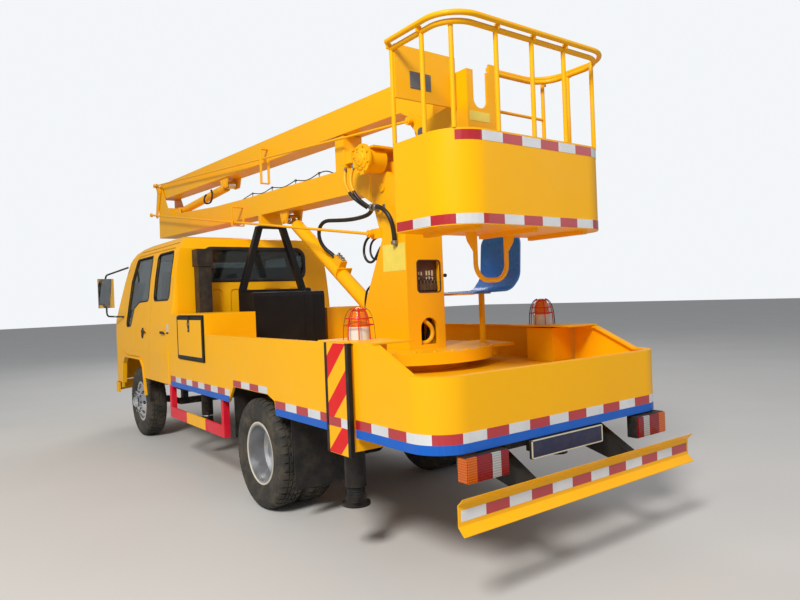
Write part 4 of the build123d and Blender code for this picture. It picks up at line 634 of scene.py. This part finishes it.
for side, s in SIDES:
    for wheel, tyre, x, rows in (("front", "tyre", WHEELBASE, (FRONT_WHEEL_Y,)),
                                 ("rear", "tyres", 0, (REAR_OUTER_Y, REAR_INNER_Y))):
        build = Build()
        for y in rows:
            tyre_into(build, x, s * y)
        made = build.make(f"{wheel}_tread_{side}", "tyre", f"{wheel}_wheel_{side}", smooth=28)
        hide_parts(f"{wheel}_{tyre}_{side}")

# Wheel nuts, hub caps and the pale ring on the rear rims
for side, s in SIDES:
    nuts, axis = Build(), (0, s, 0)
    hub = point(WHEELBASE, s * (FRONT_WHEEL_Y + DISC_OFFSET), HUB_Z)
    nuts.bolts(hub, 111, 10, 0, axis, 11.5, 24)
    nuts.lathe(hub + Vector((0, s * 0.05, 0)), axis, [(53, -30), (53, -4), (47, 6), (30, 12), (12, 14)], 32)
    nuts.make(f"front_nuts_{side}", "chrome", f"front_wheel_{side}", smooth=30)
    ring = Build()
    ring.lathe(point(0, s * (REAR_OUTER_Y + RIM_HALF_W), HUB_Z), axis,
               [(218.5, -4), (218.5, 1), (216.5, 3.5), (208, 3.5), (205.5, 0), (205.5, -4)], 72, ring=True)
    ring.bolts(point(0, s * (REAR_OUTER_Y - DISC_OFFSET), HUB_Z), 111.5, 10, 0.3, axis, 12.5, 26, 1)
    ring.make(f"rear_ring_{side}", "pale_ring steel", f"rear_wheel_{side}", smooth=30)

# Cab: rubber seals round the windows
CAB_SECTION = [(900, 560), (900, 975), (880, 1230), (856, 1450), (822, 1720), (782, 1950), (735, 2050)]


def side_y(z):
    """The cab side's distance from the middle at a height."""
    for (y0, z0), (y1, z1) in zip(CAB_SECTION, CAB_SECTION[1:]):
        if z <= z1:
            return y0 + (y1 - y0) * (z - z0) / (z1 - z0)
    return CAB_SECTION[-1][0]


def rounded(outline, radius, steps=6):
    """A closed outline with its corners rounded, as points close together."""
    found = []
    for before, here, after in zip(outline[-1:] + outline[:-1], outline, outline[1:] + outline[:1]):
        here, before, after = Vector(here), Vector(before), Vector(after)
        u, v = (before - here).normalized(), (after - here).normalized()
        angle = u.angle(v)
        cut = min(radius / tan(angle / 2), (before - here).length * 0.48, (after - here).length * 0.48)
        r = cut * tan(angle / 2)
        centre = here + (u + v).normalized() * (r / sin(angle / 2))
        a, b = here + u * cut - centre, here + v * cut - centre
        for i in range(steps + 1):
            t = i / steps
            found.append(centre + (a.lerp(b, t)).normalized() * r)
    return found


def denser(places, longest=60):
    """Adds points so that no step of a closed outline is longer than a length."""
    found = []
    for a, b in zip(places, places[1:] + places[:1]):
        count = max(1, ceil((b - a).length / longest))
        found += [a.lerp(b, i / count) for i in range(count)]
    return found


SEAL_ROOT = 6    # how far a seal's edges reach into the wall


def seal(half, out):
    """The section of a rubber seal, across and outward in millimetres."""
    right = [(half * 0.6, out), (half, out * 0.4), (half, -SEAL_ROOT)]
    return [(-a, o) for a, o in reversed(right)] + right


def flat_seal(name, outline, radius, station_x, section, look, body, longest=60):
    """A seal round an opening in an upright wall that faces the tail; its outline is in Y and height."""
    places = [point(station_x, p.x, p.y) for p in denser(rounded(outline, radius), longest)]
    build = Build().sweep(places, [Vector((-1, 0, 0))] * len(places), section, closed=True)
    build.make(name, look, body, smooth=40)


for side, s in SIDES:
    for door, window, corner in (("door_front", WINDOW_FRONT, 45), ("door_rear", WINDOW_REAR, 60)):
        flat = denser(rounded(window, corner))
        places, normals = [], []
        for p in flat:
            slope = (side_y(p.y + 10) - side_y(p.y - 10)) / 20
            places.append(point(p.x, s * side_y(p.y), p.y))
            normals.append(Vector((0, s, -slope)))
        build = Build().sweep(places, normals, seal(8.5, 4), closed=True)
        build.make(f"{door}_seal_{side}", "rubber", f"{door}_{side}", smooth=40)
flat_seal("rear_window_seal", REAR_WINDOW, 90, CAB_REAR, seal(19, 8), "rubber", "chassis")

# Lamps: lenses on the rear housings, from the outside in
LENSES = ((62, 0), (97, 1), (59, 2), (52, 1))     # width and material index
for side, s, outer in (("left", 1, BODY_HALF - 148), ("right", -1, BODY_HALF - 83)):
    build = Build()
    y = outer - 3
    for width, look in LENSES:
        build.box((-2012, s * y, 558), (-1998, s * (y - width + 2), 677), look)
        y -= width
    build.box((-2010, s * (outer - 1), 560), (-1946, s * (outer + 3.5), 675))
    build.make(f"rear_lenses_{side}", "lens_amber lens_red lens_clear", "chassis", bevel=6, segments=3)

# Blank plate board with its frame
board = Build()
board.box((-1993, -246, 594), (-1989, 316, 681))
for y0, y1, z0, z1 in ((-250, 320, 590, 596), (-250, 320, 679, 685), (-250, -244, 590, 685),
                       (314, 320, 590, 685)):
    board.box((-1996, y0, z0), (-1989, y1, z1), 1)
board.make("plate_board", "navy pale", "chassis", bevel=1)

# Locker door: a yellow panel inside the black border, and a strap latch
Build().box((1012, 934, 997), (1608, 938, 1308)).make("locker_panel", "yellow", "locker_door", bevel=3)
latch = Build()
latch.box((1294, 935, 1206), (1332, 943, 1336))
latch.box((1288, 938, 1262), (1338, 947, 1284), 1)
latch.lathe(point(1313, 943, 1226), (0, 1, 0), [(11, 0), (11, 4), (6, 6)], 20, 1)
latch.make("locker_latch", "rubber steel", "locker_door", bevel=2)

# Beacon cages: red wire hoops over the dome, on a ring; the two hoops at the cage's sides as the camera sees
# it are dark flat bands, painted shade
for side, s in SIDES:
    centre = point(BEACON_X, s * BEACON_Y, 0)
    cage = Build()
    wire = circle(3.4, 8)
    side_band = [(-8, 2), (8, 2), (8, 4.5), (-8, 4.5)]
    for z, r in ((BEACON_Z0 + 82, 0.083), (BEACON_TOP - 62, 0.075), (BEACON_TOP - 12, 0.045)):
        ring = [centre + Vector((x, y, z / 1000)) for x, y in circle(r, 32)]
        cage.sweep(ring, [Vector((0, 0, 1))] * 32, wire, closed=True)
    hoop = [(0.088, BEACON_Z0 + 2), (0.086, BEACON_Z0 + 40), (0.083, BEACON_Z0 + 82),
            (0.079, BEACON_TOP - 80), (0.072, BEACON_TOP - 52), (0.058, BEACON_TOP - 24),
            (0.044, BEACON_TOP - 11), (0.03, BEACON_TOP - 4)]
    # the two hoops at the cage's sides, as the camera sees it, are dark bands: painted shade on the wires
    # there
    for i, (x, y) in enumerate(circle(1, 8, 0.2)):
        out, on_shaded_side = Vector((x, y, 0)), i in (1, 5)
        places = [centre + out * r + Vector((0, 0, z / 1000)) for r, z in hoop]
        cage.sweep(places, [out] * 8, side_band if on_shaded_side else wire, looks=[int(on_shaded_side)] * 8)
    cage.make(f"beacon_cage_{side}", "red rubber", "chassis", smooth=40)

# Turret: bolts on the turntable's rim, the blank chart plate, and what shows in the two openings
bolts = Build()
bolts.bolts(point(TURRET_X, 0, TURNTABLE_TOP), 572, 28, pi / 28, (0, 0, 1), 10, 9, level=True)
bolts.make("turntable_bolts", "yellow", "turret")
Build().box((-782, TURRET_HALF, 1612), (-524, TURRET_HALF + 1.5, 1798)).make(
    "chart_plate", "plate", "turret", bevel=0.5)
# the control panel behind its window: a board with pale slots, a valve block with short levers, a rubber rim;
# the brown of the board, the block and the rim is painted shade inside the turret
BOARD_X = TURRET_REAR + 42
control = Build()
control.box((BOARD_X, -134, 1440), (BOARD_X + 6, 134, 1698))
for y, z, width, height in ((26, 1591, 11, 22), (4, 1589, 12, 26), (-42, 1592, 12, 32), (-66, 1593, 13, 32),
                            (-92, 1592, 14, 40), (26, 1555, 9, 18), (-42, 1557, 9, 17), (-66, 1558, 11, 19),
                            (-92, 1553, 13, 24)):
    control.box((BOARD_X - 3, y - width / 2, z - height / 2), (BOARD_X + 1, y + width / 2, z + height / 2), 1)
for y in range(48, -120, -30):
    control.box((BOARD_X - 16, y - 13, 1474), (BOARD_X, y + 13, 1522), 2)
    control.lathe(point(BOARD_X - 9, y, 1521), (-0.2, 0, 1), [(3, 0), (3, 22)], 10, 3)
    control.lathe(point(BOARD_X - 13, y, 1542), (-0.2, 0, 1), [(4, 0), (6.5, 3), (6.5, 11), (4, 14)], 14, 4)
control.make("turret_controls", "brown pale rust steel plastic", "turret", smooth=30, bevel=1.5)
# the rim's brown: painted shade at the window's edge
flat_seal("panel_rim", [(-132, 1459), (72, 1459), (72, 1679), (-132, 1679)], 25, TURRET_REAR,
          seal(4, 2), "brown", "turret", longest=40)
knob = Build()
knob.lathe(point(-775, -TURRET_HALF, 1574), (0, -1, 0),
           [(11, 0), (11, 8), (7, 10), (7, 18), (12.5, 21), (12.5, 34), (9, 38)], 24)
knob.make("turret_knob", "plastic", "turret", smooth=40)

# behind the arch: a dark back board, painted shade inside the turret, and the wrapped hoses that come up
# through the turntable
Build().box((-590, -133, TURNTABLE_TOP + 26), (-584, 133, 1440)).make(
    "turret_inside", "dark", "turret", bevel=2)
hose("wrapped_hose", [(-742, 60, 1335), (-742, 39, 1301), (-762, 5, 1268), (-772, -45, 1228),
                      (-772, -61, 1183), (-770, -47, 1141), (-764, -10, 1115), (-748, 37, 1117),
                      (-738, 76, 1155), (-742, 92, 1200)], 14.5, looks="wrapped")
hose("inner_hose", [(-748, -100, 1380), (-712, -92, 1290), (-708, -76, 1190), (-700, -60, 1108)], 12)

# Winch: bolted cover on the drum's flange, and its motor with two elbows
WINCH_FACE = point(-560, 336, 2380)
winch = Build()
winch.lathe(WINCH_FACE, (0, 1, 0),
            [(74, -4), (74, 6), (70, 9), (50, 10), (47, 17), (44, 19), (20, 19), (18, 23), (12, 24)], 48)
winch.bolts(WINCH_FACE, 89, 8, 0.1 * pi, (0, 1, 0), 9.5, 11)
winch.bolts(WINCH_FACE + Vector((0, 0.0095, 0)), 60, 6, pi / 30, (0, 1, 0), 6, 7)
for x0, x1, y0, y1, z0, z1 in ((-480, -410, 214, 300, 2394, 2458), (-416, -404, 208, 322, 2383, 2487),
                               (-404, -300, 222, 310, 2392, 2478), (-318, -300, 214, 318, 2370, 2496),
                               (-300, -252, 230, 302, 2398, 2470)):
    winch.box((x0, y0, z0), (x1, y1, z1))
for z in (2398, 2472):
    for y in (224, 306):
        winch.bolt(point(-416, y, z), (-1, 0, 0), 7, 8)
winch.make("winch_motor", "yellow", "lower_arm", smooth=35, bevel=4, segments=3)
for place, x in (("front", -272), ("rear", -372)):
    elbow, down = Build(), (0, 0, -1)
    elbow.lathe(point(x, 284, 2398), down, [(13, 0), (13, 14), (11, 16), (11, 34)], 6)
    elbow.lathe(point(x, 284, 2364), down, [(12.5, -4), (12.5, 16), (10, 20)], 20)
    elbow.make(f"winch_elbow_{place}", "steel", "lower_arm", smooth=30)

# Hoses of the winch, the arms and the cylinders. Each hangs between two fittings.
hose("lift_hose", [(-690, 176, 1800), (-715, 196, 1892), (-697, 218, 1990), (-622, 228, 2052),
                   (-530, 228, 2068), (-456, 198, 2068), (-400, 156, 2058), (-300, 132, 2036),
                   (-80, 128, 2034), (153, 128, 2056), (326, 128, 2075), (423, 126, 2030), (464, 108, 1944),
                   (443, 70, 1857), (372, 22, 1800), (340, 0, 1730)],
     15.5, "lift_barrel")
for place, length, route in (
        ("front", 0.37, [(-448, 224, 2070), (-404, 284, 2120), (-326, 302, 2200), (-262, 294, 2290),
                         (-272, 284, 2358)]),
        ("rear", 0.34, [(-474, 226, 2072), (-438, 286, 2120), (-388, 306, 2200), (-350, 300, 2290),
                        (-372, 284, 2358)])):
    hose(f"winch_hose_{place}", route, 12.5, "lower_arm", 2185,
         "wrapped hose")
hose("turret_loop", [(-500, 116, 1905), (-380, 116, 1905), (-252, 116, 1874), (-205, 116, 1780),
                     (-253, 116, 1700), (-346, 116, 1694), (-430, 116, 1799), (-500, 116, 1830)], 9.5)
hose("turret_loop_small", [(-500, 96, 1890), (-396, 92, 1883), (-286, 92, 1852), (-259, 92, 1777),
                           (-299, 92, 1718), (-374, 92, 1714), (-442, 94, 1795), (-495, 100, 1822)],
     8)
hose("foot_hose", [(-352, 120, 1538), (-262, 120, 1520), (-218, 120, 1440), (-214, 120, 1350),
                   (-262, 120, 1300)], 8)
hose("winch_pipe", [(-548, 262, 2292), (-546, 256, 2240), (-470, 222, 2160), (-470, 182, 2090)],
     6, "lower_arm", looks="wrapped")

# Valve block on the lift cylinder's barrel, where its hose ends
rise = (LIFT_EYE - LIFT_FOOT).normalized()
above = Vector((-rise.y, 0, rise.x))


def on_lift(along, off=0.0):
    """A place on the lift cylinder's middle plane: along it from its foot in millimetres, and off it upwards
    in metres."""
    place = LIFT_FOOT + rise * along
    return point(place.x, 0, place.y) + above * off


valve = Build()
for start, stop, half, low, high in ((740, 860, 32, 45, 112), (700, 714, 70, -20, 70)):
    valve.sweep([on_lift(start), on_lift(stop)], [above] * 2,
                [(-half, low), (half, low), (half, high), (-half, high)])
for along in (762, 800, 838):
    valve.lathe(on_lift(along, 0.11), above, [(14, 0), (14, 14), (11, 16), (11, 28)], 6, 1)
valve.make("lift_valve", "yellow steel", "lift_barrel", bevel=3)

# Clamps where the hoses meet the turret's side
clamps = Build()
for x, z, y in ((-690, 1804, 176), (-560, 2058, 228), (-490, 2068, 214)):
    clamps.box((x - 16, TURRET_HALF - 1, z - 26), (x + 16, TURRET_HALF + 4, z + 26))
    clamps.lathe(point(x, y, z), (0.95, 0, 0.1) if z > 1900 else (0.1, 0, 1),
                 [(21.5, -12), (25, -10), (25, 10), (21.5, 12)], 24)
    clamps.box((x - 7, TURRET_HALF, z - 8), (x + 7, y - 12, z + 8))
clamps.make("hose_clamps", "steel", "turret", smooth=35, bevel=1.5)

# Cylinder hoses on the fold cylinder's barrel
hose("fold_hose", [(2968, 74, 2735), (2899, 96, 2735), (2853, 104, 2662), (2895, 104, 2590),
                   (3023, 104, 2589), (3117, 104, 2615), (3140, 96, 2684), (3118, 74, 2712)],
     10, body="fold_barrel")

# Cable along the lower arm's top, through four guides
CABLE_Y = 71
guides = Build()
for x in (484, 906, 1384, 1834):
    z = 2432 + (x + 129) / 4959 * 136       # the arm's sloping top
    guides.box((x - 12, 58, z - 1), (x + 12, 84, z + 4))
    guides.box((x - 3, 68, z), (x + 3, 74, z + 34))
    guides.lathe(point(x, CABLE_Y, z + 42), (1, 0, 0),
                 [(7.5, -6), (11, -6), (11, 6), (7.5, 6)], 20, ring=True)
guides.make("cable_guides", "steel", "lower_arm", smooth=35)
hose("arm_cable", [(x, CABLE_Y, z) for x, z in (
    (240, 2446), (340, 2490), (470, 2494), (500, 2492), (695, 2462), (890, 2502), (922, 2503), (1145, 2474),
    (1368, 2515), (1400, 2517), (1610, 2489), (1818, 2527), (1850, 2528), (2010, 2512), (2120, 2500))],
     4.5, body="lower_arm")

# Rubber flaps behind the rear wheels, and rubber boots on the jacks' rods
for side, s in SIDES:
    flap = Build()
    y0, y1 = sorted((s * 512, s * 884))
    levels = ((222, -492), (320, -486), (420, -482), (560, -479), (690, -478))
    ring = ((-5, y0), (3, y0), (3, y1), (-5, y1))
    flap.add([point(x + across, y, z) for z, x in levels for across, y in ring], skin(len(levels), 4))
    flap.box((-490, y0, 222), (-483, y1, 236))
    for i in range(4):
        flap.bolt(point(-483, y0 + 40 + i * (y1 - y0 - 80) / 3, 668), (-1, 0, 0), 8, 8, 1)
    flap.make(f"mud_flap_{side}", "rubber steel", "chassis", bevel=1.5)
for side, s in SIDES:
    for jack, x, y in (("rear_jack", -1150, BODY_HALF - 78), ("front_jack", 1770, 640)):
        profile = [(38.5, 350), (50, 350)]
        for z in (353, 365, 377):
            profile += [(50.5, z), (50.5, z + 6), (46.5, z + 9)]
        profile += [(46, 388.5), (38.5, 388.5)]
        boot = Build().lathe(point(x, s * y, 0), (0, 0, 1), profile, 32, ring=True)
        boot.make(f"{jack}_boot_{side}", "rubber", f"{jack}_{side}", smooth=40)

# Blank plate on the platform's control plate
plate = Build()
plate.box((-1310.5, 320, 2629), (-1307.5, 473, 2727))
for y, z in ((328, 2637), (465, 2637), (328, 2719), (465, 2719)):
    plate.lathe(point(-1310.5, y, z), (-1, 0, 0), [(4, 0), (4, 1.2), (2.5, 2)], 12, 1)
plate.box((-1399.5, -62, 2474), (-1397.5, 100, 2532), 2)
plate.make("control_blank", "grey steel plate", "platform", bevel=0.6)

# Door handles: a rubber oval round a dark disc on each front door, the disc painted shade of the handle's
# recess; a pale pull with a dark lip on each rear door
HANDLE_X, HANDLE_Z = 2964, 1159
for side, s in SIDES:
    handle = Build()
    places = [(HANDLE_X + 30 * a, HANDLE_Z + 52 * b) for a, b in circle(1, 32)]
    ring = [point(x, s * (side_y(z) + 4), z) for x, z in places]
    handle.sweep(ring, [Vector((0, s, 0.1))] * 32, [(-5, -3), (5, -3), (3, 4), (-3, 4)], closed=True)
    middle = point(HANDLE_X, s * (side_y(HANDLE_Z) + 3), HANDLE_Z)
    # the dark disc inside the oval: painted shade of the handle's recess
    handle.add([middle] + ring, [(0, i + 1, (i + 1) % 32 + 1) for i in range(32)], 1)
    handle.make(f"front_handle_{side}", "rubber plastic", f"door_front_{side}", smooth=40)
    pull = Build()
    for z, out, x0, x1, z0, z1, look in ((1225, 8, 2072, 2118, 1182, 1262, 0),
                                         (1178, 11, 2066, 2124, 1172, 1182, 1)):
        pull.box((x0, s * (side_y(z) - 4), z0), (x1, s * (side_y(z) + out), z1), look)
    pull.make(f"rear_handle_{side}", "pale plastic", f"door_rear_{side}", bevel=4, segments=3)

# Wipers on the windscreen, drip rails over the doors
lean = (SCREEN_TOP - SCREEN_FOOT).normalized()
facing = Vector((lean.y, 0, -lean.x))


def on_screen(y, along, stand=0.0):
    """A place on the windscreen: along it from its bottom edge in millimetres, and off it in metres."""
    base = SCREEN_FOOT + lean * along
    return point(base.x, y, base.y) + facing * stand


for side, y0, y1 in (("left", 520, 60), ("right", -100, -560)):
    wiper = Build()
    blade = [on_screen(y0 + (y1 - y0) * t, 90 + 30 * sin(pi * t), 0.010) for t in (0, 0.25, 0.5, 0.75, 1)]
    wiper.sweep(blade, [facing] * 5, [(-6, -6), (6, -6), (4, 8), (-4, 8)])
    pivot = on_screen((y0 + y1) / 2 - 230, -30, 0.008)
    middle = on_screen((y0 + y1) / 2, 120, 0.020)
    wiper.sweep([pivot, pivot.lerp(middle, 0.5) + facing * 0.01, middle], [facing] * 3,
                [(-7, -4), (7, -4), (5, 6), (-5, 6)])
    wiper.lathe(pivot, facing, [(16, -10), (16, 6), (10, 14)], 20)
    wiper.make(f"wiper_{side}", "plastic", "chassis", bevel=1)
for side, s in SIDES:
    rail = [point(x, s * (side_y(z) + 2), z) for x, z in (
        (2072, 1700), (2062, 1900), (2080, 1990), (2140, 2004), (2400, 2008), (2900, 2010), (3420, 2006),
        (3470, 1985))]
    gutter = Build().sweep(rail, [Vector((0, s, 0.25))] * len(rail),
                           [(-5, -2), (5, -2), (5, 8), (2, 10), (-5, 6)])
    gutter.make(f"drip_rail_{side}", "yellow", "chassis", smooth=40)


# Camera at the photograph's angle, solved from it: angles in radians, focal length in pixels of its width
YAW, PITCH, ROLL = -0.63436, -0.00394, -0.03885
EYE = (-5.6403, 2.7582, 1.4314)
FOCAL_PIXELS, PHOTO_WIDTH, SENSOR = 646.90, 800, 36
ahead = Vector((cos(YAW) * cos(PITCH), sin(YAW) * cos(PITCH), sin(PITCH)))
level = Vector((sin(YAW), -cos(YAW), 0))
right = level * cos(ROLL) + level.cross(ahead) * sin(ROLL)
up = right.cross(ahead)
lens_data = bpy.data.cameras.new("camera")
lens_data.sensor_width = SENSOR
lens_data.lens = FOCAL_PIXELS / PHOTO_WIDTH * SENSOR
lens_data.clip_end = 200
camera = link("camera", lens_data)
camera.matrix_world = Matrix([(right[i], up[i], -ahead[i], EYE[i]) for i in range(3)] + [(0, 0, 0, 1)])
bpy.context.scene.camera = camera


# Floor, world and lamps
FLOOR_HALF = 60
floor_look = Shader("studio_floor")
floor_tone = floor_look.mix(floor_look.noise(0.7, 5), srgb(200, 199, 196), srgb(212, 211, 209))
floor_mesh = bpy.data.meshes.new("floor")
floor_mesh.from_pydata([(x * FLOOR_HALF, y * FLOOR_HALF, 0) for x, y in ((-1, -1), (1, -1), (1, 1), (-1, 1))],
                       [], [(0, 1, 2, 3)])
floor_mesh.materials.append(floor_look.finish(floor_tone, 0.75))
link("floor", floor_mesh)

world = bpy.data.worlds.new("studio")
bpy.context.scene.world = world
world.use_nodes = True
nodes = world.node_tree.nodes
background, seen = nodes["Background"], nodes.new("ShaderNodeBackground")
for shown, colour, strength in ((background, (0.92, 0.95, 1.0, 1), 0.37), (seen, (0.90, 0.92, 0.94, 1), 1.0)):
    shown.inputs["Color"].default_value = colour
    shown.inputs["Strength"].default_value = strength
path_info = nodes.new("ShaderNodeLightPath")
either = nodes.new("ShaderNodeMath")
either.operation = "MAXIMUM"
blend = nodes.new("ShaderNodeMixShader")
for source, target in ((path_info.outputs["Is Camera Ray"], either.inputs[0]),
                       (path_info.outputs["Is Transmission Ray"], either.inputs[1]),
                       (either.outputs[0], blend.inputs["Fac"]), (background.outputs[0], blend.inputs[1]),
                       (seen.outputs[0], blend.inputs[2]),
                       (blend.outputs[0], nodes["World Output"].inputs["Surface"])):
    world.node_tree.links.new(source, target)


LIT = Vector((0, 0, 1))    # where the lamps point


def lamp(name, place, size, power, colour=(1, 1, 1)):
    """A round soft lamp."""
    data = bpy.data.lights.new(name, "AREA")
    data.shape = "DISK"
    data.size = size
    data.energy = power
    data.color = colour
    made = link(name, data)
    made.location = place
    made.rotation_euler = (LIT - Vector(place)).to_track_quat("-Z", "Y").to_euler()


lamp("key", (-7.5, 8.5, 9.5), 3.6, 1600, (1.0, 0.97, 0.92))
lamp("fill", (-10, -8, 6), 7.0, 120, (0.95, 0.97, 1.0))
lamp("front", (9, -5, 7), 6.0, 260)
bpy.context.scene.view_settings.view_transform = "Standard"
